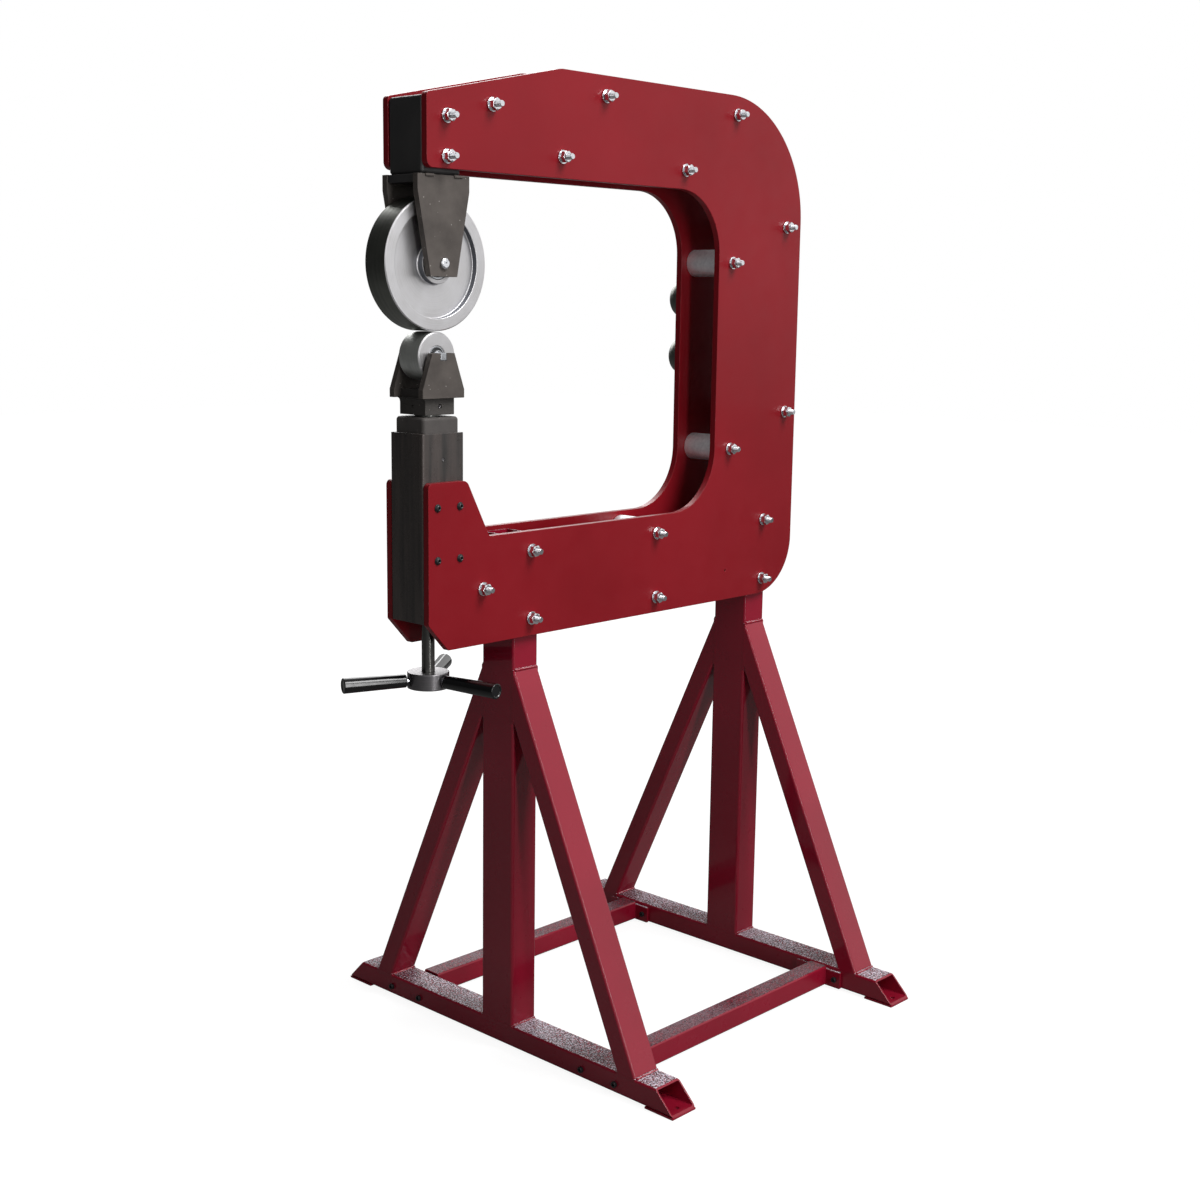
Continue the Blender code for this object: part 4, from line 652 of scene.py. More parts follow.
class Finish(Graph):
    """Builds one material from nodes."""

    def __init__(self, name, **constants):
        self.material = bpy.data.materials.new(name)
        self.material.use_nodes = True
        super().__init__(self.material.node_tree)
        self.shader = self.tree.nodes["Principled BSDF"]
        for socket, value in constants.items():
            self.set(socket.replace("_", " "), value)
        self.coordinates = self.node("ShaderNodeTexCoord").outputs["Object"]

    def set(self, socket, value):
        self.feed(self.shader.inputs[socket], value)

    def noise(self, scale, detail=3.0, stretch=(1, 1, 1), roughness=0.5):
        mapping = self.node("ShaderNodeMapping", Vector=self.coordinates, Scale=stretch)
        inputs = {"Scale": scale, "Detail": detail, "Roughness": roughness}
        return self.node("ShaderNodeTexNoise", Vector=mapping.outputs[0], **inputs).outputs[0]

    def rings(self, scale):
        """Fine rings about local Z, as a lathe leaves them."""
        parts = self.node("ShaderNodeSeparateXYZ", Vector=self.coordinates).outputs
        flat = self.node("ShaderNodeCombineXYZ", X=parts[0], Y=parts[1]).outputs[0]
        reach = self.sums("LENGTH", flat, kind="ShaderNodeVectorMath")
        spot = self.node("ShaderNodeCombineXYZ", X=reach, Z=parts[2])
        return self.node("ShaderNodeTexNoise", Vector=spot.outputs[0], Scale=scale, Detail=2.0).outputs[0]

    def blend(self, factor, first, second):
        mix = self.node("ShaderNodeMix", {"data_type": "RGBA"})
        for index, value in ((0, factor), (6, first), (7, second)):
            self.feed(mix.inputs[index], value)
        return mix.outputs[2]

    def height_of(self, vector):
        return self.node("ShaderNodeSeparateXYZ", Vector=vector).outputs[2]

    def facing_up(self):
        """1 on faces that look up, 0 elsewhere."""
        normal = self.node("ShaderNodeNewGeometry").outputs["Normal"]
        return self.span(self.height_of(normal), 0.0, 1.0, *FACING_UP)

    def facing_axis(self):
        """1 on faces square to the piece's own axis, 0 on faces along it."""
        normal = self.node("ShaderNodeTexCoord").outputs["Normal"]
        return self.span(self.sums("ABSOLUTE", self.height_of(normal)), 0.0, 1.0, *FACING_AXIS)

    def above(self, height):
        """1 above a height over the ground, 0 below."""
        spot = self.node("ShaderNodeNewGeometry").outputs["Position"]
        ends = (height - SPECKLE_FLOOR_BLUR, height + SPECKLE_FLOOR_BLUR)
        return self.span(self.height_of(spot), 0.0, 1.0, *ends)

    def bump(self, height, depth, strength=1.0):
        made = self.node("ShaderNodeBump", Height=height, Distance=depth, Strength=strength)
        previous = self.shader.inputs["Normal"].links
        if previous:
            self.tree.links.new(previous[0].from_socket, made.inputs["Normal"])
        self.set("Normal", made.outputs[0])

    def done(self, base, rough, height, depth, strength):
        """The material, from its colour, its roughness and the height of its grain."""
        self.set("Base Color", base)
        self.set("Roughness", rough)
        self.bump(height, depth, strength)
        return self.material


def colour(display):
    """Linear colour from red, green and blue display values of 0 to 255."""

    def linear(value):
        value /= 255
        return value / 12.92 if value <= 0.04045 else ((value + 0.055) / 1.055) ** 2.4

    return tuple(linear(value) for value in display) + (1.0,)


def paint(name, tint, deep, roughness, peel, gloss, coat, painted_glint=None):
    """Sprayed paint with orange peel, and, if asked, pale specks painted as glints with dark pits of
    painted shade on faces that look up.
    """
    finish = Finish(name, IOR=1.45, Specular_IOR_Level=gloss, Coat_Roughness=0.07, Coat_IOR=1.6)
    up = finish.times(finish.facing_up(), finish.above(SPECKLE_FLOOR))
    finish.set("Coat Weight", finish.span(up, coat, 0.0 if painted_glint else TOP_COAT))
    base = finish.blend(finish.spread(finish.noise(scale=4.0, detail=4.0)), colour(tint), colour(deep))
    if painted_glint:
        # painted glints: pale specks on faces that look up, with painted shade in dark pits between them
        pit_shade_mask = finish.span(finish.noise(300.0, detail=2.0, roughness=0.7), 0.0, 1.0, start=0.50, end=0.60)
        drift = finish.spread(finish.noise(5.0, detail=2.0), low=0.84, high=1.10)
        grains = finish.times(drift, finish.noise(360.0, detail=2.0, roughness=0.8))
        specks = finish.span(grains, 0.0, 1.0, start=0.50, end=0.54)
        sparkle = finish.blend(specks, finish.blend(pit_shade_mask, PAINTED_PIT_SHADE, base), colour(painted_glint))
        base = finish.blend(up, base, sparkle)
        finish.bump(finish.times(up, finish.noise(360.0, detail=2.0)), depth=0.0006, strength=0.6)
    rough = finish.spread(finish.noise(scale=30.0), roughness - 0.05, roughness + 0.07)
    return finish.done(base, rough, finish.noise(scale=900.0, detail=2.0), depth=0.0001, strength=peel)


def metal(name, tint, deep, roughness, grain, stretch=(1, 1, 1), scale=160.0):
    """Bare steel with a directional grain."""
    finish = Finish(name, Metallic=1.0)
    streaks = finish.noise(scale, 4.0, stretch, roughness=0.6)
    base = finish.blend(finish.spread(streaks), colour(tint), colour(deep))
    rough = finish.spread(finish.noise(scale=12.0), roughness - 0.06, roughness + 0.08)
    return finish.done(base, rough, streaks, depth=0.00012, strength=grain)


def lathe_metal(name, tint, deep, roughness, scale=900.0, grain=0.5, painted_wall_shade=None):
    """Turned steel: rings round the piece's own axis, and, if asked, painted shade in a darker tint on the
    faces along the axis, which are also rougher.
    """
    finish = Finish(name, Metallic=1.0)
    lines = finish.rings(scale)
    tone = finish.times(finish.spread(lines, low=0.25), finish.spread(finish.noise(scale=22.0)))
    base = finish.blend(tone, colour(tint), colour(deep))
    rough = finish.spread(lines, roughness - 0.05, roughness + 0.07)
    if painted_wall_shade:
        # faces along the axis take the darker tint: painted shade
        facing = finish.facing_axis()
        base = finish.blend(facing, colour(painted_wall_shade), base)
        rough = finish.times(rough, finish.span(facing, WALL_ROUGHNESS, 1.0))
    return finish.done(base, rough, lines, depth=0.00008, strength=grain)


def coated_steel(name, tint, deep, roughness, gloss, stretch=(1, 1, 1)):
    """Steel with a satin black coat, clouded or streaked."""
    finish = Finish(name, IOR=1.5, Specular_IOR_Level=gloss)
    clouds = finish.spread(finish.noise(14.0, 4.0, stretch))
    rough = finish.spread(finish.noise(scale=50.0), roughness - 0.05, roughness + 0.08)
    base = finish.blend(clouds, colour(tint), colour(deep))
    return finish.done(base, rough, finish.noise(scale=700.0), depth=0.0001, strength=0.4)


def oiled_steel(name, tint, deep, speck):
    """Dark mill-scale steel with soft clouds and a few pale specks."""
    finish = Finish(name, IOR=1.5, Specular_IOR_Level=0.12)
    clouds = finish.spread(finish.noise(18.0, 5.0, stretch=(1, 1, 0.5), roughness=0.6))
    dots = finish.node("ShaderNodeTexVoronoi", Vector=finish.coordinates, Scale=95.0).outputs["Distance"]
    base = finish.blend(clouds, colour(tint), colour(deep))
    base = finish.blend(finish.span(dots, 1.0, 0.0, start=0.05, end=0.10), base, colour(speck))
    rough = finish.spread(finish.noise(scale=60.0), low=0.42, high=0.62)
    return finish.done(base, rough, finish.noise(scale=320.0, detail=4.0), depth=0.0002, strength=0.35)


def plastic(name, tint, roughness):
    finish = Finish(name, IOR=1.5, Specular_IOR_Level=0.50)
    tint = colour(tint)
    deep = tuple(PLASTIC_DEEP * part for part in tint[:3]) + (1.0,)
    base = finish.blend(finish.spread(finish.noise(scale=40.0)), tint, deep)
    rough = finish.spread(finish.noise(scale=90.0, detail=2.0), roughness, roughness + 0.06)
    return finish.done(base, rough, finish.noise(scale=160.0, detail=2.0), depth=0.00004, strength=0.1)


STAND_COAT = {
    "tint": (155, 22, 48),
    "deep": (139, 18, 41),
    "roughness": 0.30,
    "peel": 0.30,
    "gloss": 0.10,
    "coat": 0.6,
}
FRAME_PAINT = paint("frame_paint", (141, 22, 33), (130, 17, 27), 0.36, peel=0.20, gloss=0.26, coat=0.05)
# the stand's and rails' top faces carry painted glints and painted pit shade
STAND_PAINT = paint("stand_paint", painted_glint=(236, 230, 242), **STAND_COAT)
RAIL_PAINT = paint("rail_paint", painted_glint=(132, 110, 118), **STAND_COAT)
BLACK_STEEL = coated_steel("black_steel", (64, 63, 63), (52, 52, 53), 0.34, gloss=0.35)
SLEEVE_STEEL = coated_steel("sleeve_steel", (86, 78, 75), (52, 50, 49), 0.28, 0.45, stretch=(6, 6, 0.3))
BROWN_STEEL = oiled_steel("brown_steel", (101, 95, 91), (80, 75, 72), speck=(176, 172, 166))
RAM_STEEL = oiled_steel("ram_steel", (94, 90, 88), (75, 72, 71), speck=(140, 136, 130))
BLOCK_STEEL = oiled_steel("block_steel", (79, 76, 74), (62, 60, 58), speck=(140, 136, 130))
# the wheel bodies' faces along their axes get blue-grey painted shade
WHEEL_FACE = lathe_metal("wheel_face", (214, 213, 215), (192, 190, 190), 0.40, painted_wall_shade=(112, 114, 120))
WHEEL_TREAD = lathe_metal("wheel_tread", (118, 120, 114), (92, 94, 90), 0.38, scale=300.0, grain=0.06)
ANVIL_TREAD = lathe_metal("anvil_tread", (212, 214, 210), (174, 177, 175), 0.48, scale=300.0, grain=0.05)
RACE_STEEL = lathe_metal("race_steel", (190, 192, 196), (160, 162, 166), 0.22)
SHAFT_STEEL = lathe_metal("shaft_steel", (112, 112, 109), (84, 84, 82), 0.26)
HUB_STEEL = lathe_metal("hub_steel", (132, 129, 131), (104, 102, 105), 0.32)
ZINC = metal("zinc", (240, 241, 244), (196, 198, 204), 0.16, grain=0.3, scale=300.0)
SPACER_STEEL = metal("spacer_steel", (248, 250, 252), (226, 228, 232), 0.60, grain=0.5)
SCREW_BLACK = coated_steel("screw_black", (36, 36, 38), (26, 26, 28), 0.30, gloss=0.35)
SEAL_RUBBER = plastic("seal_rubber", (24, 24, 26), 0.45)
GRIP_PLASTIC = plastic("grip_plastic", (12, 12, 14), 0.10)
SPINDLE_STEEL = metal("spindle_steel", (132, 131, 128), (78, 78, 76), 0.20, grain=0.3, stretch=(1, 1, 0.05))
BRONZE = lathe_metal("bronze", (176, 132, 78), (150, 108, 60), 0.34)


def piece(name, mesh, material, matrix=AS_IS, body="frame", stands_for=""):
    """A finished piece that rides on a body and may stand for a solid. Its slot goes by its material."""
    mesh = mesh if mesh.users == 0 else mesh.copy()
    mesh.name = name
    thing = bpy.data.objects.new(name, mesh)
    bpy.context.scene.collection.objects.link(thing)
    mesh.materials.clear()
    mesh.materials.append(material)
    mesh.shade_smooth()
    mesh.set_sharp_from_angle(angle=SHARP_ANGLE)
    thing.matrix_world = matrix
    weighted = thing.modifiers.new("normals", "WEIGHTED_NORMAL")
    weighted.keep_sharp = True
    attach(thing, body)
    if stands_for:
        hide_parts(stands_for)
    return thing


def middle_of(node):
    """The middle of a solid, its X counted from the plates' front edge."""
    low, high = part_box(node)
    centre = (low + high) / 2
    return centre.x - FRONT, centre.y, centre.z


def bolt_nodes():
    return sorted(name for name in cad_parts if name.startswith(("spacer_bolt", "through_bolt")))


def bolt_place(node):
    x, _, z = middle_of(node)
    return x, z


# C-frame


def side_plate_outline():
    ear_top = LOWER_ARM_TOP_Z + EAR_HEIGHT
    corners = [
        (0, THROAT_TOP_Z, NOSE_BOTTOM_RADIUS),
        (0, THROAT_TOP_Z + NOSE_HEIGHT, NOSE_RADIUS),
        (PEAK_X, FRAME_TOP_Z, PEAK_RADIUS),
        (FRAME_DEPTH, FRAME_TOP_Z, TOP_CORNER_RADIUS),
        (FRAME_DEPTH, FRAME_BOTTOM_Z, BOTTOM_CORNER_RADIUS),
        (TOE_CHAMFER_LENGTH, FRAME_BOTTOM_Z, SMALL_CORNER_RADIUS),
        (0, FRAME_BOTTOM_Z + TOE_CHAMFER_HEIGHT, SMALL_CORNER_RADIUS),
        (0, ear_top, EAR_FRONT_RADIUS),
        (EAR_LENGTH, ear_top, EAR_BACK_RADIUS),
        (EAR_LENGTH + EAR_SLOPE_LENGTH, LOWER_ARM_TOP_Z, SMALL_CORNER_RADIUS),
        (THROAT_DEPTH, LOWER_ARM_TOP_Z, THROAT_RADIUS),
        (THROAT_DEPTH, THROAT_TOP_Z, THROAT_RADIUS),
    ]
    return rounded(corners, step=3.0)


def side_plates():
    middle = (PLATE_INNER_Y + PLATE_OUTER_Y) / 2
    holes = [circle(*bolt_place(node), BOLT_RADIUS + FIT_GAP) for node in bolt_nodes()]
    oiler = circle(OILER_HOLE_X, OILER_HOLE_Z, OILER_HOLE_RADIUS, segments=16)
    for name, side in SIDES:
        extra = [oiler] if name == "right" else []
        mesh = slab([side_plate_outline()] + holes + extra, PLATE_THICKNESS, PLATE_EDGE)
        place = at(0, side * middle, 0) @ UPRIGHT
        piece(f"{name}_side_plate_panel", mesh, FRAME_PAINT, place, stands_for=f"{name}_side_plate")


def frame_fasteners():
    """Through bolts with nuts to the right and heads to the left, and spacers between the plates."""
    washer = ring(BOLT_RADIUS + FIT_GAP, WASHER_RADIUS, 0, WASHER_THICKNESS, segments=40)
    nut = hex_piece(BOLT_HEAD_ACROSS, NUT_HEIGHT, BOLT_RADIUS - FIT_GAP)
    head = hex_piece(BOLT_HEAD_ACROSS, BOLT_HEAD_HEIGHT, 0)
    seat = PLATE_OUTER_Y + FIT_GAP
    on_washer = seat + WASHER_THICKNESS
    tip = on_washer + NUT_HEIGHT + BOLT_END_LENGTH
    thread = threaded_rod(BOLT_RADIUS, PLATE_INNER_Y, tip, BOLT_PITCH)
    shank = rod(BOLT_RADIUS, -on_washer, PLATE_INNER_Y, edge=0, segments=20)
    bolt = joined((thread, AS_IS), (shank, AS_IS), (head, raised(-on_washer) @ DOWN))
    half = PLATE_INNER_Y - FIT_GAP
    spacer = ring(BOLT_RADIUS + FIT_GAP, SPACER_RADIUS, -half, half, SOFT_EDGE, segments=64)
    for index, node in enumerate(bolt_nodes()):
        x, z = bolt_place(node)
        right = at(x, 0, z) @ TO_RIGHT @ Matrix.Rotation(math.radians(NUT_TURN * index), 4, "Z")
        left = at(x, 0, z) @ ALONG_Y
        piece(f"{node}_bolt", bolt, ZINC, right, stands_for=node)
        piece(f"{node}_nut", nut, ZINC, right @ raised(on_washer))
        piece(f"{node}_nut_washer", washer, ZINC, right @ raised(seat))
        piece(f"{node}_head_washer", washer, ZINC, left @ raised(seat))
        if node.startswith("spacer"):
            piece(f"{node}_spacer", spacer, SPACER_STEEL, left)


def head_block():
    low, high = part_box("head_block")
    bottom = low.z - HEAD_BLOCK_DROP
    width = high.x - low.x
    x, z = middle_of("head_block")[0], (high.z + bottom) / 2
    bolts = [bolt_place(node) for node in bolt_nodes()]
    holes = [circle(bx - x, bz - z, BOLT_RADIUS + FIT_GAP) for bx, bz in bolts if abs(bx - x) < width / 4]
    outline = rounded_box(width, high.z - bottom, HEAD_BLOCK_EDGE, step=10.0)
    mesh = slab([outline] + holes, high.y - low.y, HEAD_BLOCK_EDGE, steps=6)
    piece("head_block_forging", mesh, BLACK_STEEL, at(x, 0, z) @ UPRIGHT, stands_for="head_block")


# Fork and upper wheel


def upright_pair(title, mesh, middle, body, node):
    """The same plate on both sides of the wheels. The right one stands for the solid."""
    for name, side in SIDES:
        place = at(AXIS_X, side * middle, 0) @ UPRIGHT
        piece(title.format(name), mesh, BROWN_STEEL, place, body, node if name == "right" else "")


def wheel_fork():
    low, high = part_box("wheel_fork")
    top = WHEEL_Z + FORK_TOP_ABOVE_AXLE
    half_top, half_tip = (high.x - low.x) / 2, FORK_TIP_LENGTH / 2
    edge = SOFT_EDGE
    front_half = [
        (-half_top, top, edge),
        (-half_top, top - FORK_SHOULDER_HEIGHT, 4 * edge),
        (-half_tip, low.z, edge),
    ]
    outline = rounded(mirrored(front_half), step=10.0)
    arm = slab([outline, circle(0, WHEEL_Z, BOLT_RADIUS + FIT_GAP)], FORK_ARM_THICKNESS)
    arm_mid = FORK_GAP / 2 + FORK_ARM_THICKNESS / 2
    upright_pair("wheel_fork_{}_arm", arm, arm_mid, "frame", "wheel_fork")
    plate = box_mesh(2 * half_top - 4 * edge, FORK_GAP - FIT_GAP, FORK_TOP_THICKNESS)
    plate_place = at(AXIS_X, 0, top - FORK_TOP_THICKNESS / 2 - FIT_GAP)
    piece("wheel_fork_top_plate", plate, BLACK_STEEL, plate_place)
    axis = at(AXIS_X, 0, 0)
    sunk = WELD_RADIUS / 3
    reach = half_top - 5 * WELD_RADIUS
    for name, side in SIDES:
        y, z = side * (FORK_GAP / 2 - sunk), top - FORK_TOP_THICKNESS - sunk
        weld = weld_bead((-reach, y, z), (reach, y, z), seed=side)
        piece(f"wheel_fork_{name}_weld", weld, BROWN_STEEL, axis)
        y, z = side * (FORK_GAP / 2 + FORK_ARM_THICKNESS), top - TACK_DROP
        for index, along in enumerate((-1, 1)):
            start, end = ((along * TACK_SPACING + way * TACK_LENGTH) / 2 for way in (-1, 1))
            tack = weld_bead((start, y, z), (end, y, z), seed=side + index)
            piece(f"wheel_fork_{name}_tack_{index + 1}", tack, BROWN_STEEL, axis)


def other_side(profile):
    """The corners of a wheel's left side, from those of its right side."""
    return [(radius, -height, corner) for radius, height, corner in reversed(profile)]


def upper_wheel():
    half, web, boss = WHEEL_HALF, WHEEL_HALF - WHEEL_RECESS_DEPTH, WHEEL_HALF + WHEEL_BOSS_STAND
    reach = half - WHEEL_EDGE
    side = [
        (BEARING_RADIUS + FIT_GAP, boss, WHEEL_BOSS_EDGE),
        (WHEEL_BOSS_RADIUS, boss, SOFT_EDGE),
        (WHEEL_BOSS_RADIUS + WHEEL_BOSS_DRAFT, web, WHEEL_BOSS_FILLET),
        (WHEEL_RECESS_RADIUS - WHEEL_RECESS_DRAFT, web, WHEEL_RECESS_FILLET),
        (WHEEL_RECESS_RADIUS, half, SOFT_EDGE),
        (WHEEL_RADIUS - WHEEL_EDGE, half, KEEN_EDGE),
        (WHEEL_RADIUS - TREAD_SKIN, reach, 0),
    ]
    profile = side + other_side(side)
    place = at(AXIS_X, 0, WHEEL_Z) @ ALONG_Y
    disc = turned(profile[::-1], segments=192)
    piece("upper_wheel_disc", disc, WHEEL_FACE, place, "upper_wheel_unit", "upper_wheel")
    inner = WHEEL_RADIUS - TREAD_DEPTH
    band = [(inner, -reach, 0), (WHEEL_RADIUS, -reach, TREAD_EDGE)]
    tread = turned(band + other_side(band), segments=192)
    piece("upper_wheel_tread", tread, WHEEL_TREAD, place, "upper_wheel_unit")


def bearing(name, z, middle, side, sizes, body):
    """A sealed ball bearing: outer race, seal and an inner race that runs on to the cheek."""
    bore, nose, outer, width, nose_end = sizes
    turn = at(AXIS_X, side * middle, z) @ (TO_RIGHT if side < 0 else ALONG_Y)
    half = width / 2
    race_in = nose + (outer - nose) * RACE_SHARE
    outer_race = ring(race_in, outer, -half, half, RACE_EDGE)
    seal = ring(nose + 2 * SEAL_GAP, race_in - SEAL_GAP, SEAL_DROP - half, half - SEAL_DROP, SEAL_EDGE)
    back = [(bore, -half, KEEN_EDGE), (nose, -half, KEEN_EDGE)]
    inner_race = turned(back + [(nose, nose_end, RACE_EDGE), (bore, nose_end, RACE_EDGE)])
    piece(f"{name}_outer_race", outer_race, RACE_STEEL, turn, body, name)
    piece(f"{name}_seal", seal, SEAL_RUBBER, turn, body)
    piece(f"{name}_inner_race", inner_race, RACE_STEEL, turn, body)


def upper_bearings():
    middle = WHEEL_HALF + WHEEL_BOSS_STAND - BEARING_WIDTH / 2
    nose_end = FORK_GAP / 2 - FIT_GAP - middle
    width = BEARING_WIDTH - 2 * FIT_GAP
    sizes = (AXLE_RADIUS + FIT_GAP, BEARING_NOSE_RADIUS, BEARING_RADIUS, width, nose_end)
    for name, side in SIDES:
        bearing(f"upper_bearing_{name}", WHEEL_Z, middle, side, sizes, "upper_wheel_unit")


def upper_axle():
    half = FORK_GAP / 2 - FIT_GAP
    sleeve = ring(BOLT_RADIUS + FIT_GAP, AXLE_RADIUS, -half, half)
    place = at(AXIS_X, 0, WHEEL_Z)
    piece("upper_axle_sleeve", sleeve, SHAFT_STEEL, place @ ALONG_Y, stands_for="upper_axle")
    face = FORK_GAP / 2 + FORK_ARM_THICKNESS + FIT_GAP
    dimple, dimple_floor = AXLE_HEAD_DIMPLE
    head = [
        (0, 0, 0),
        (AXLE_HEAD_RADIUS, 0, KEEN_EDGE),
        (AXLE_HEAD_RADIUS, AXLE_HEAD_HEIGHT * AXLE_HEAD_SHOULDER, AXLE_HEAD_EDGE),
        (AXLE_HEAD_RADIUS * AXLE_HEAD_FACE, AXLE_HEAD_HEIGHT, AXLE_HEAD_EDGE),
        (AXLE_HEAD_RADIUS * dimple, AXLE_HEAD_HEIGHT, RACE_EDGE),
        (0, AXLE_HEAD_HEIGHT * dimple_floor, 0),
    ]
    end = -face - AXLE_NUT_HEIGHT
    rim = [(AXLE_HEAD_RADIUS, end, SOFT_EDGE), (AXLE_HEAD_RADIUS, -face, FINE_EDGE)]
    nut = [(0, end, 0)] + rim + [(0, -face, 0)]
    shank = rod(BOLT_RADIUS, -face, face)
    ends = (turned(head, segments=64), raised(face)), (turned(nut, segments=48), AS_IS)
    bolt = joined((shank, AS_IS), *ends)
    piece("axle_bolt_set", bolt, ZINC, place @ TO_RIGHT, stands_for="axle_bolt")


# Anvil and cradle


def crowned_wheel(node, sizes, place, body, tread_finish):
    """A crowned wheel with chamfered faces, set back round its bore, and a tread of its own finish."""
    radius, width, crown, bore, recess_radius = sizes
    half = width / 2
    reach = half - ANVIL_EDGE
    heights = [reach * (2 * step / CROWN_STEPS - 1) for step in range(CROWN_STEPS + 1)]
    crest = [(radius - crown * (height / half) ** 2, height, 0) for height in heights]
    shoulder = crest[-1][0]
    side = [
        (bore, half - FACE_RECESS, 0),
        (recess_radius, half - FACE_RECESS, KEEN_EDGE),
        (recess_radius, half, KEEN_EDGE),
        (shoulder - ANVIL_EDGE, half, KEEN_EDGE),
        (shoulder - TREAD_SKIN, reach, 0),
    ]
    core = [(r - TREAD_SKIN, z, 0) for r, z, _ in crest[-2:0:-1]]
    profile = side + core + other_side(side)
    piece(f"{node}_body", turned(profile[::-1], segments=256), WHEEL_FACE, place, body, node)
    inner = shoulder - TREAD_DEPTH
    tread = turned([(inner, -reach, 0)] + crest + [(inner, reach, 0)], segments=256)
    piece(f"{node}_tread", tread, tread_finish, place, body)


def anvil():
    place = at(AXIS_X, 0, ANVIL_Z) @ ALONG_Y
    bore, recess_radius = ANVIL_BEARING_RADIUS + FIT_GAP, ANVIL_BEARING_RADIUS + SOFT_EDGE
    sizes = (ANVIL_RADIUS, ANVIL_WIDTH, ANVIL_CROWN, bore, recess_radius)
    crowned_wheel("anvil_wheel", sizes, place, "anvil_unit", ANVIL_TREAD)
    middle = ANVIL_WIDTH / 2 - ANVIL_RECESS_DEPTH - ANVIL_BEARING_WIDTH / 2
    nose_end = CRADLE_GAP / 2 - 3 * FIT_GAP - middle
    width = ANVIL_BEARING_WIDTH - 2 * FIT_GAP
    sizes = (ANVIL_SHAFT_RADIUS + FIT_GAP, ANVIL_BEARING_NOSE, ANVIL_BEARING_RADIUS, width, nose_end)
    for name, side in SIDES:
        bearing(f"anvil_bearing_{name}", ANVIL_Z, middle, side, sizes, "anvil_unit")
    half = CRADLE_GAP / 2 - FIT_GAP
    flat = box_mesh(ANVIL_FLAT_WIDTH, ANVIL_FLAT_WIDTH, CHEEK_THICKNESS + FIT_GAP)
    flat_mid = CRADLE_GAP / 2 + CHEEK_THICKNESS / 2 - FIT_GAP / 2
    bar = rod(ANVIL_SHAFT_RADIUS, -half, half)
    shaft = joined((bar, AS_IS), (flat, raised(flat_mid)), (flat, raised(-flat_mid)))
    piece("anvil_shaft_bar", shaft, RACE_STEEL, place, "ram_unit", "anvil_shaft")


def set_screw(name, hole, depth, sizes, body):
    """A socket set screw that stands on a hole's floor and ends a little below its mouth."""
    radius, drop, socket = sizes
    screw = socket_head(radius, depth - drop, socket)
    piece(name, screw, HUB_STEEL, hole @ raised(depth) @ DOWN, body)


def cradle():
    top = ANVIL_Z + CHEEK_TOP_ABOVE_AXIS
    bottom = top - CHEEK_HEIGHT
    half = CHEEK_LENGTH / 2
    notch = ANVIL_FLAT_WIDTH / 2 + FIT_GAP
    edge = SOFT_EDGE
    rear_half = [
        (half, bottom, edge),
        (half, bottom + CHEEK_BAND, 2 * edge),
        (CHEEK_TOP_LENGTH / 2, top, edge),
        (notch, top, edge / 2),
        (notch, ANVIL_Z - notch, edge / 2),
    ]
    cheek = slab([rounded(mirrored(rear_half), step=10.0)], CHEEK_THICKNESS)
    cheek_mid = CRADLE_GAP / 2 + CHEEK_THICKNESS / 2
    upright_pair("cradle_{}_cheek", cheek, cheek_mid, "ram_unit", "anvil_cradle")
    cradle_block(bottom)


def cradle_block(top):
    """The block under the cheeks, with its set screw, its fillet and its spigot."""
    base = top - CRADLE_BLOCK_DROP
    half_width = CRADLE_BLOCK_WIDTH / 2
    seat = top - FIT_GAP
    inner = CRADLE_GAP / 2 - FIT_GAP
    left_half = [
        (half_width, base, SOFT_EDGE),
        (half_width, seat, CRADLE_FILLET / 8),
        (inner, seat, 0),
        (inner, top + CRADLE_BLOCK_RISE, SOFT_EDGE),
    ]
    block = slab([rounded(mirrored(left_half), step=10.0)], CRADLE_BLOCK_LENGTH)
    place = at(AXIS_X, 0, 0) @ Matrix.Rotation(math.pi / 2, 4, "Z") @ UPRIGHT
    solid = piece("cradle_block", block, BLOCK_STEEL, place, "ram_unit")
    middle_z = base + CRADLE_BLOCK_DROP / 2
    front_x = AXIS_X - CRADLE_BLOCK_LENGTH / 2
    hole = at(AXIS_X, -half_width, middle_z) @ ALONG_Y
    drill_hole(solid, hole, CRADLE_HOLE_RADIUS, CRADLE_HOLE_DEPTH)
    set_screw("cradle_set_screw", hole, CRADLE_HOLE_DEPTH, CRADLE_SET_SCREW, "ram_unit")
    fillet = slab([concave_corner(CRADLE_FILLET)], CRADLE_BLOCK_WIDTH, edge=0)
    piece("cradle_front_fillet", fillet, BLOCK_STEEL, at(front_x, 0, top) @ UPRIGHT, "ram_unit")
    drill_hole(solid, at(front_x, 0, middle_z) @ ALONG_X, CRADLE_FRONT_HOLE_RADIUS, CRADLE_HOLE_DEPTH)
    spigot = rod(SPIGOT_RADIUS, RAM_HIGH.z - SPIGOT_SUNK, base - FIT_GAP)
    piece("cradle_spigot", spigot, SHAFT_STEEL, at(AXIS_X, 0, 0), "ram_unit")


def concave_corner(radius, steps=8):
    """The outline of a fillet that fills the corner below and to the left of zero."""
    arc = [math.pi / 2 * step / steps for step in range(steps + 1)]
    return [Vector((FIT_GAP, FIT_GAP))] + [
        Vector((-radius + radius * math.sin(turn), -radius + radius * math.cos(turn))) for turn in arc
    ]


# Ram, sleeve and hand screw


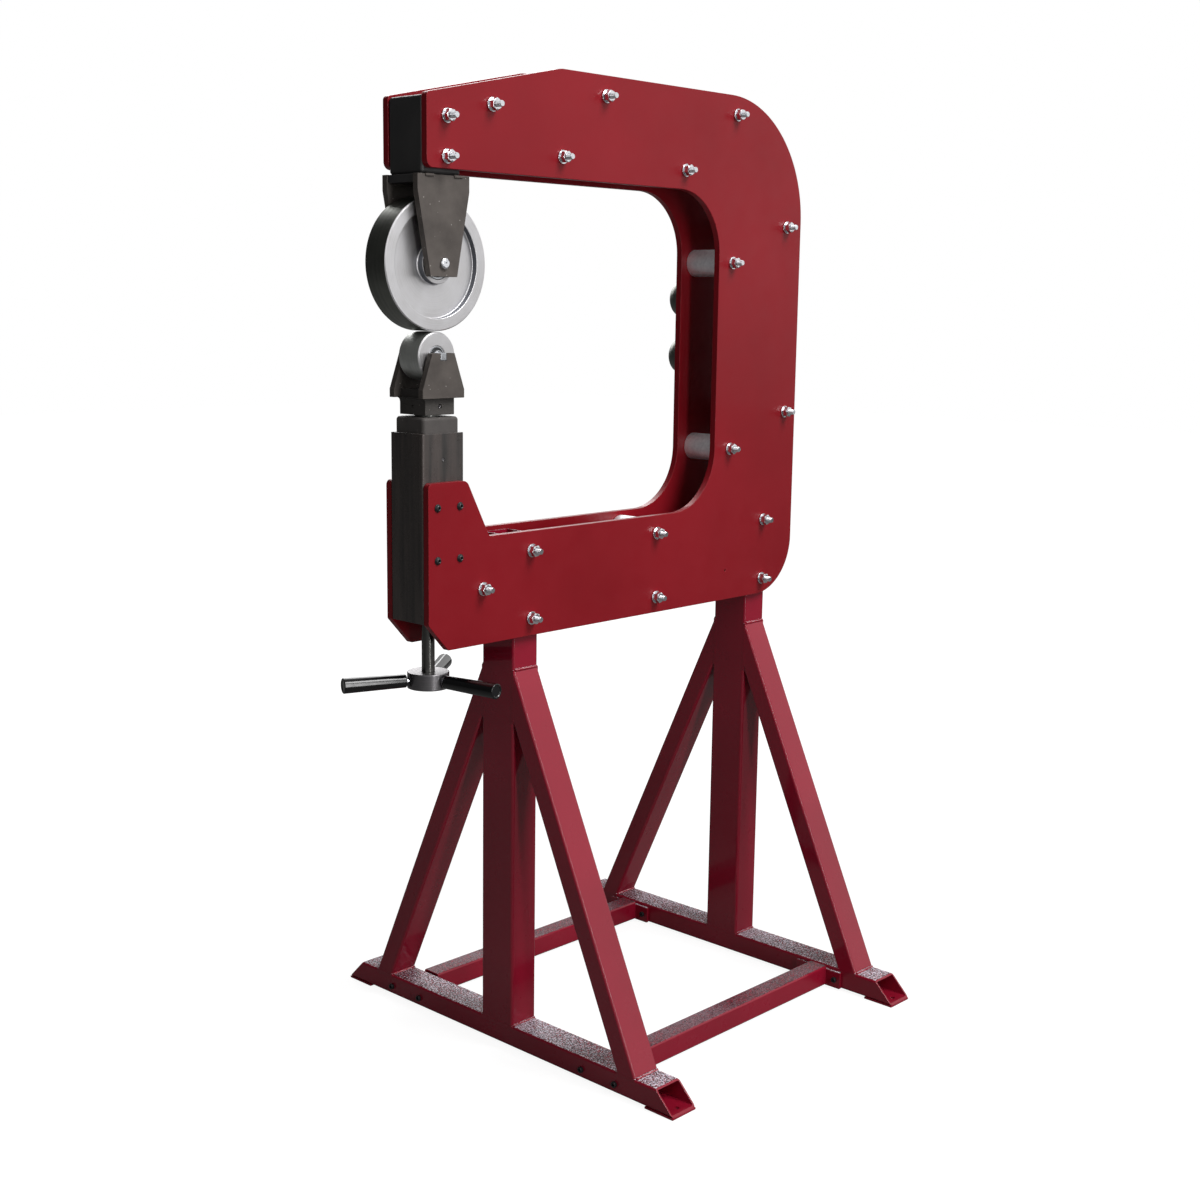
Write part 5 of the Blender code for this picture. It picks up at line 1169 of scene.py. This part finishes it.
def ram():
    x, y, z = middle_of("ram")
    length, width = RAM_HIGH.x - RAM_LOW.x, RAM_HIGH.y - RAM_LOW.y
    bore = width - 2 * RAM_SIDE_WALL
    loops = [rounded_box(length, width, RAM_CORNER), rounded_box(bore, bore, SOFT_EDGE)]
    bar = slab(loops, RAM_HIGH.z - RAM_LOW.z, RAM_TOP_EDGE, steps=6, hole_edge=FINE_EDGE)
    piece("ram_bar", bar, RAM_STEEL, at(x, y, z), "ram_unit", "ram")
    plug = bore - FIT_GAP
    spigot_hole = circle(0, 0, SPIGOT_RADIUS + FIT_GAP, segments=48)
    cap = slab([rounded_box(plug, plug, SOFT_EDGE), spigot_hole], RAM_CAP_THICKNESS)
    cap_z = RAM_HIGH.z - RAM_CAP_THICKNESS / 2 - FIT_GAP
    piece("ram_cap", cap, RAM_STEEL, at(x, y, cap_z), "ram_unit")


def ram_sleeve():
    length, width = SLEEVE_HIGH.x - SLEEVE_LOW.x, 2 * (PLATE_INNER_Y - FIT_GAP)
    bore_length, bore_width = length - 2 * SLEEVE_END_WALL, width - 2 * SLEEVE_SIDE_WALL
    bore = rounded_box(bore_length, bore_width, RAM_CORNER + FIT_GAP)
    outline = rounded_box(length, width, SLEEVE_CORNER)
    tube = slab([outline, bore], SLEEVE_HIGH.z - SLEEVE_LOW.z, SOFT_EDGE)
    place = at(AXIS_X, 0, (SLEEVE_HIGH.z + SLEEVE_LOW.z) / 2)
    shell = piece("ram_sleeve_tube", tube, SLEEVE_STEEL, place, stands_for="ram_sleeve")
    hole = at(AXIS_X, -width / 2, SLEEVE_HIGH.z - SLEEVE_PIN_HOLE_DROP) @ ALONG_Y
    depth = SLEEVE_SIDE_WALL / 2
    drill_hole(shell, hole, SLEEVE_PIN_HOLE_RADIUS, depth)
    set_screw("sleeve_set_screw", hole, depth, SLEEVE_SET_SCREW, "frame")


def sleeve_screws():
    head = socket_head(*BUTTON_HEAD)
    shank = rod(SLEEVE_SCREW_RADIUS, -PLATE_THICKNESS - SLEEVE_SIDE_WALL, 0, edge=0, segments=24)
    screw = joined((head, AS_IS), (shank, AS_IS))
    upper_row = LOWER_ARM_TOP_Z + EAR_HEIGHT - SLEEVE_SCREW_TOP_DROP
    for (name, side), turn in zip(SIDES, (TO_RIGHT, ALONG_Y)):
        for index, (column, row) in enumerate(((-1, 0), (-1, 1), (1, 0), (1, 1))):
            x = AXIS_X + column * SLEEVE_SCREW_SPACING_X / 2
            z = upper_row - row * SLEEVE_SCREW_SPACING_Z
            place = at(x, side * (PLATE_OUTER_Y + FIT_GAP), z) @ turn @ Matrix.Rotation(index, 4, "Z")
            piece(f"sleeve_screw_{name}_{index + 1}", screw, SCREW_BLACK, place)


def handle_turn(index):
    angle = math.radians(HANDLE_FIRST_ANGLE) + index * math.tau / HANDLE_COUNT
    return Matrix.Rotation(angle, 4, "Z") @ ALONG_X


def hand_screw():
    low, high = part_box("adjusting_screw")
    spindle = rod(SCREW_RADIUS, low.z, high.z, SOFT_EDGE, segments=64)
    axis, body = at(AXIS_X, 0, 0), "hand_screw"
    piece("adjusting_screw_spindle", spindle, SPINDLE_STEEL, axis, body, "adjusting_screw")
    hub = ring(SCREW_RADIUS + FIT_GAP, HUB_RADIUS, HUB_LOW.z, HUB_HIGH.z, HUB_EDGE, segments=128)
    solid = piece("hand_hub_disc", hub, HUB_STEEL, axis, body, "hand_hub")
    places = [at(AXIS_X, 0, HANDLE_Z) @ handle_turn(index) for index in range(HANDLE_COUNT)]
    for place in places:
        mouth = place @ raised(HUB_RADIUS) @ DOWN
        drill_hole(solid, mouth, HANDLE_COUNTERSINK, HANDLE_COUNTERSINK_DEPTH)
    stem = rod(HANDLE_ROD_RADIUS, HUB_RADIUS - HANDLE_ROD_SUNK, GRIP_START + HANDLE_ROD_IN_GRIP)
    bore, cup = HANDLE_ROD_RADIUS + FIT_GAP, HANDLE_REACH - GRIP_CUP_DEPTH
    profile = [
        (0, GRIP_START + GRIP_BORE_DEPTH, 0),
        (bore, GRIP_START + GRIP_BORE_DEPTH, 0),
        (bore, GRIP_START, RACE_EDGE),
        (GRIP_INNER_RADIUS, GRIP_START, GRIP_EDGE),
        (GRIP_OUTER_RADIUS, HANDLE_REACH, GRIP_EDGE),
        (GRIP_CUP_RADIUS + GRIP_CUP_DEPTH, HANDLE_REACH, FINE_EDGE),
        (GRIP_CUP_RADIUS, cup, FINE_EDGE),
        (0, cup, 0),
    ]
    grip = turned(profile, segments=80)
    for number, place in enumerate(places, 1):
        piece(f"handle_stem_{number}", stem, ZINC, place, body, f"handle_rod_{number}")
        piece(f"handle_knob_{number}", grip, GRIP_PLASTIC, place, body, f"handle_grip_{number}")


# Stand


def posts():
    for node in ("front_post", "rear_post"):
        low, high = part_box(node)
        tube = slab(tube_section(high.x - low.x, high.y - low.y, TUBE_CORNER), high.z - low.z)
        piece(f"{node}_tube", tube, STAND_PAINT, at(*middle_of(node)), stands_for=node)


def cut_tube(width, depth, length, near_cut, far_cut):
    """A tube along local Z, as long as given at its +Y side, with its ends cut on a slope."""
    shape = bmesh.new()
    shape.from_mesh(slab(tube_section(width, depth, TUBE_CORNER), length))
    for vert in shape.verts:
        cut = far_cut if vert.co.z > 0 else near_cut
        vert.co.z += cut * (vert.co.y - depth / 2)
    return as_mesh(shape)


def beams():
    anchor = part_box("front_beam")[1].y - ANCHOR_HOLE_INSET
    for node in ("front_beam", "rear_beam"):
        low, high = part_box(node)
        x, width, height = middle_of(node)[0], high.x - low.x, high.z - PAD_THICKNESS
        # Local Y points down once the tube lies along Y, so its ends lean out towards the floor.
        tube = cut_tube(width, height, 2 * high.y, -1.0, 1.0)
        place = at(x, 0, PAD_THICKNESS + height / 2) @ ALONG_Y
        body = piece(f"{node}_tube", tube, STAND_PAINT, place, stands_for=node)
        for side in (-1, 1):
            mouth = at(x, side * anchor, PAD_THICKNESS - HOLE_CLEAR)
            drill_hole(body, mouth, ANCHOR_HOLE_RADIUS, TUBE_WALL + 3 * HOLE_CLEAR)
        hole = circle(0, PAD_LENGTH / 2 - ANCHOR_HOLE_INSET, ANCHOR_HOLE_RADIUS)
        pad = slab([rounded_box(width, PAD_LENGTH, SOFT_EDGE), hole], PAD_THICKNESS)
        for name, side in SIDES:
            turn = Matrix.Rotation(0 if side > 0 else math.pi, 4, "Z")
            place = at(x, side * (high.y - PAD_LENGTH / 2), PAD_THICKNESS / 2) @ turn
            piece(f"{node}_{name}_pad", pad, STAND_PAINT, place)


def brace_line():
    """A brace's start at its post, its top and foot heights, and its slope."""
    post_side = PLATE_INNER_Y - FIT_GAP
    foot_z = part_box("front_beam")[1].z
    return post_side, foot_z, math.atan2(BRACE_TOP_Z - foot_z, BRACE_FOOT_Y - post_side)


def braces():
    post_side, foot_z, slope = brace_line()
    length = math.hypot(BRACE_FOOT_Y - post_side, BRACE_TOP_Z - foot_z)
    low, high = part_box("front_post")
    tube = cut_tube(high.x - low.x, BRACE_DEPTH, length, -1 / math.tan(slope), math.tan(slope))
    for end in ("front", "rear"):
        x = middle_of(f"{end}_post")[0]
        for name, side in SIDES:
            along = Vector((0, -side * math.cos(slope), math.sin(slope)))
            inward = Vector((0, -side * math.sin(slope), -math.cos(slope)))
            centre = Vector((0, side * (BRACE_FOOT_Y + post_side) / 2, (BRACE_TOP_Z + foot_z) / 2))
            place = brace_matrix(x, centre + inward * BRACE_DEPTH / 2, along, inward)
            node = f"{end}_{name}_brace"
            piece(f"{node}_tube", tube, STAND_PAINT, place, stands_for=node)


def brace_matrix(x, centre, along, inward):
    """Local Z along the brace, local Y out of its outer side."""
    outward = -inward
    across = outward.cross(along)
    turn = Matrix((across, outward, along)).transposed().to_4x4()
    return at(x, 0, 0) @ Matrix.Translation(centre) @ turn


def stand_welds():
    """Ground-flush seams on the frames' front and rear faces, and small beads on their sides."""
    post_side, beam_top, slope = brace_line()
    top_cut, foot_cut = BRACE_DEPTH / math.cos(slope), BRACE_DEPTH / math.sin(slope)
    lay = SEAM_WIDTH / 2 - SEAM_LAP
    seams = [(0, beam_top - lay, 2 * post_side, SEAM_WIDTH)]
    beads = []
    for side in (-1, 1):
        seams.append((side * (post_side - lay), BRACE_TOP_Z - top_cut / 2, SEAM_WIDTH, top_cut))
        seams.append((side * (BRACE_FOOT_Y - foot_cut / 2), beam_top - lay, foot_cut, SEAM_WIDTH))
        beads += [(side * y, beam_top) for y in (post_side, BRACE_FOOT_Y, BRACE_FOOT_Y - foot_cut)]
        beads += [(side * post_side, z) for z in (BRACE_TOP_Z, BRACE_TOP_Z - top_cut)]
    turn = Matrix.Rotation(math.pi / 2, 4, "Z") @ UPRIGHT
    for end in ("front", "rear"):
        low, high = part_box(f"{end}_post")
        x, half = middle_of(f"{end}_post")[0], (high.x - low.x) / 2
        for number, (y, z, width, height) in enumerate(seams, 1):
            seam = slab([rounded_box(width, height, SOFT_EDGE)], 2 * (half + SEAM_STAND))
            piece(f"{end}_seam_{number}", seam, STAND_PAINT, at(x, y, z) @ turn)
        reach = half - WELD_RADIUS
        for index, (y, z) in enumerate(beads):
            bead = weld_bead((-reach, 0, 0), (reach, 0, 0), seed=index)
            piece(f"{end}_weld_{index + 1}", bead, STAND_PAINT, at(x, y, z))


def rails():
    front_low, front_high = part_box("front_post")
    rear_low, rear_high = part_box("rear_post")
    front_face = front_high.x - FRONT + FIT_GAP
    rear_face = rear_low.x - FRONT - FIT_GAP
    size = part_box("front_beam")[1].z - PAD_THICKNESS
    z = PAD_THICKNESS + size / 2
    flange_z = PAD_THICKNESS + FLANGE_HEIGHT / 2
    tube = slab(tube_section(size, size, RAIL_CORNER), rear_face - front_face - 2 * FLANGE_THICKNESS)
    flange = slab([rounded_box(FLANGE_HEIGHT, FLANGE_LENGTH, FLANGE_CORNER)], FLANGE_THICKNESS)
    head = socket_head(*CAP_HEAD)
    nut = hex_piece(*FLANGE_NUT)
    flanges = {"front": front_face + FLANGE_THICKNESS / 2, "rear": rear_face - FLANGE_THICKNESS / 2}
    heads = {"front": front_low.x - FRONT - FIT_GAP, "rear": rear_face - FLANGE_THICKNESS}
    nuts = {"front": front_face + FLANGE_THICKNESS, "rear": rear_high.x - FRONT + FIT_GAP}
    for name, side in SIDES:
        node, y = f"{name}_rail", side * RAIL_Y
        place = at((front_face + rear_face) / 2, y, z) @ ALONG_X
        piece(f"{node}_tube", tube, RAIL_PAINT, place, stands_for=node)
        for end, x in flanges.items():
            piece(f"{node}_{end}_flange", flange, STAND_PAINT, at(x, y, flange_z) @ ALONG_X)
        for number, across in ((1, -1), (2, 1)):
            hole_y = y + across * FLANGE_SCREW_SPACING / 2
            for end, x in heads.items():
                piece(f"{node}_{end}_screw_{number}", head, SCREW_BLACK, at(x, hole_y, flange_z) @ TO_FRONT)
            for end, x in nuts.items():
                piece(f"{node}_{end}_nut_{number}", nut, SCREW_BLACK, at(x, hole_y, flange_z) @ ALONG_X)


# Spare anvils


def spares():
    for number in (1, 2):
        node = f"spare_anvil_{number}"
        low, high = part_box(node)
        radius, width = (high.z - low.z) / 2, high.y - low.y
        place = at(*middle_of(node)) @ ALONG_Y
        sizes = (radius, width, SPARE_CROWN, SPARE_BORE, ANVIL_BEARING_RADIUS)
        crowned_wheel(node, sizes, place, "frame", WHEEL_TREAD)
        end, back = width / 2 + FIT_GAP, -width / 2 - PEG_SHOULDER_LENGTH
        knob_end = end + PEG_KNOB_LENGTH
        knob = [
            (0, end, 0),
            (PEG_KNOB_RADIUS, end, SOFT_EDGE),
            (PEG_KNOB_RADIUS, knob_end, PEG_KNOB_EDGE),
            (0, knob_end, 0),
        ]
        shoulder = ring(BOLT_RADIUS, PEG_KNOB_RADIUS, back - FIT_GAP, -end)
        pin = rod(PEG_RADIUS, back, end)
        stud = rod(BOLT_RADIUS, back - PLATE_THICKNESS, -width / 2)
        meshes = (turned(knob, segments=48), shoulder, pin, stud)
        peg = joined(*((mesh, AS_IS) for mesh in meshes))
        piece(f"spare_peg_{number}_pin", peg, SCREW_BLACK, place, stands_for=f"spare_peg_{number}")


def carried_over():
    """Finishes for the solids that show as they are."""
    finishes = {
        "sleeve_base": BLACK_STEEL,
        "thrust_collar": SHAFT_STEEL,
        "ram_nut": BRONZE,
        "hub_set_screw": SCREW_BLACK,
    }
    for name, material in finishes.items():
        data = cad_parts[name].data
        data.materials.clear()
        data.materials.append(material)


# Stage


def sky():
    """White to look at. It lights little, and one side of it is a dark room."""
    world = bpy.data.worlds.new("studio")
    world.use_nodes = True
    bpy.context.scene.world = world
    graph = Graph(world.node_tree)
    shown, mirror = graph.ray_kinds()
    view = graph.node("ShaderNodeTexCoord").outputs["Generated"]
    towards = graph.sums("DOT_PRODUCT", view, DARK_SIDE, kind="ShaderNodeVectorMath")
    wall = graph.span(towards, 1.0, DARK_SIDE_LIGHT, *DARK_SIDE_EDGES)
    lit = graph.times(graph.span(mirror, SKY_LIGHT, 1.0), wall)
    backdrop = graph.tree.nodes["Background"].inputs
    graph.feed(backdrop["Strength"], graph.span(shown, lit, 1.0))
    graph.feed(backdrop["Color"], (1, 1, 1, 1))


def floor():
    """Pale floor that keeps the shadow and meets the background without a line."""
    bpy.ops.mesh.primitive_plane_add(size=FLOOR_SIZE)
    ground = bpy.context.object
    ground.name = "floor"
    paper = Finish("floor_paper", Roughness=FLOOR_ROUGHNESS, Specular_IOR_Level=0.0)
    paper.set("Base Color", (FLOOR_COLOUR, FLOOR_COLOUR, FLOOR_COLOUR, 1))
    shown, mirror = paper.ray_kinds()
    reach = paper.sums("LENGTH", paper.coordinates, kind="ShaderNodeVectorMath")
    white = paper.span(reach, FLOOR_GLOW_NEAR, FLOOR_GLOW_FAR, *FLOOR_FADE)
    strength = paper.span(shown, paper.span(mirror, 0.0, FLOOR_MIRROR), white)
    glow = paper.node("ShaderNodeEmission", Strength=strength)
    add = paper.node("ShaderNodeAddShader")
    paper.feed(add.inputs[0], paper.shader.outputs[0])
    paper.feed(add.inputs[1], glow.outputs[0])
    paper.feed(paper.tree.nodes["Material Output"].inputs["Surface"], add.outputs[0])
    ground.data.materials.append(paper.material)


def lamp(name, place, size, power):
    """A rectangular lamp aimed at the machine's middle."""
    data = bpy.data.lights.new(name, "AREA")
    data.shape = "RECTANGLE"
    data.size, data.size_y = size
    data.energy = power
    thing = bpy.data.objects.new(name, data)
    bpy.context.scene.collection.objects.link(thing)
    spot = at(*place).translation
    thing.location = spot
    thing.rotation_euler = (at(*LAMP_TARGET).translation - spot).to_track_quat("-Z", "Y").to_euler()


def camera():
    yaw, pitch, roll = (math.radians(v) for v in (CAMERA_YAW, CAMERA_PITCH, CAMERA_ROLL))
    ahead = Vector((-math.sin(yaw) * math.cos(pitch), math.cos(yaw) * math.cos(pitch), math.sin(pitch)))
    right = Vector((math.cos(yaw), math.sin(yaw), 0))
    up = right.cross(ahead)
    tipped = right * math.cos(roll) + up * math.sin(roll)
    top = up * math.cos(roll) - right * math.sin(roll)
    data = bpy.data.cameras.new("camera")
    data.sensor_width = CAMERA_SENSOR
    data.lens = CAMERA_LENS
    data.shift_x, data.shift_y = CAMERA_SHIFT
    thing = bpy.data.objects.new("camera", data)
    bpy.context.scene.collection.objects.link(thing)
    turn = Matrix((tipped, top, -ahead)).transposed().to_4x4()
    thing.matrix_world = at(*CAMERA_PLACE) @ turn
    bpy.context.scene.camera = thing


side_plates()
frame_fasteners()
head_block()
wheel_fork()
upper_wheel()
upper_bearings()
upper_axle()
anvil()
cradle()
ram()
ram_sleeve()
sleeve_screws()
hand_screw()
posts()
beams()
braces()
stand_welds()
rails()
spares()
carried_over()
sky()
floor()
for lamp_name, settings in LAMPS.items():
    lamp(lamp_name, *settings)
camera()
bpy.context.scene.view_settings.view_transform = "Standard"
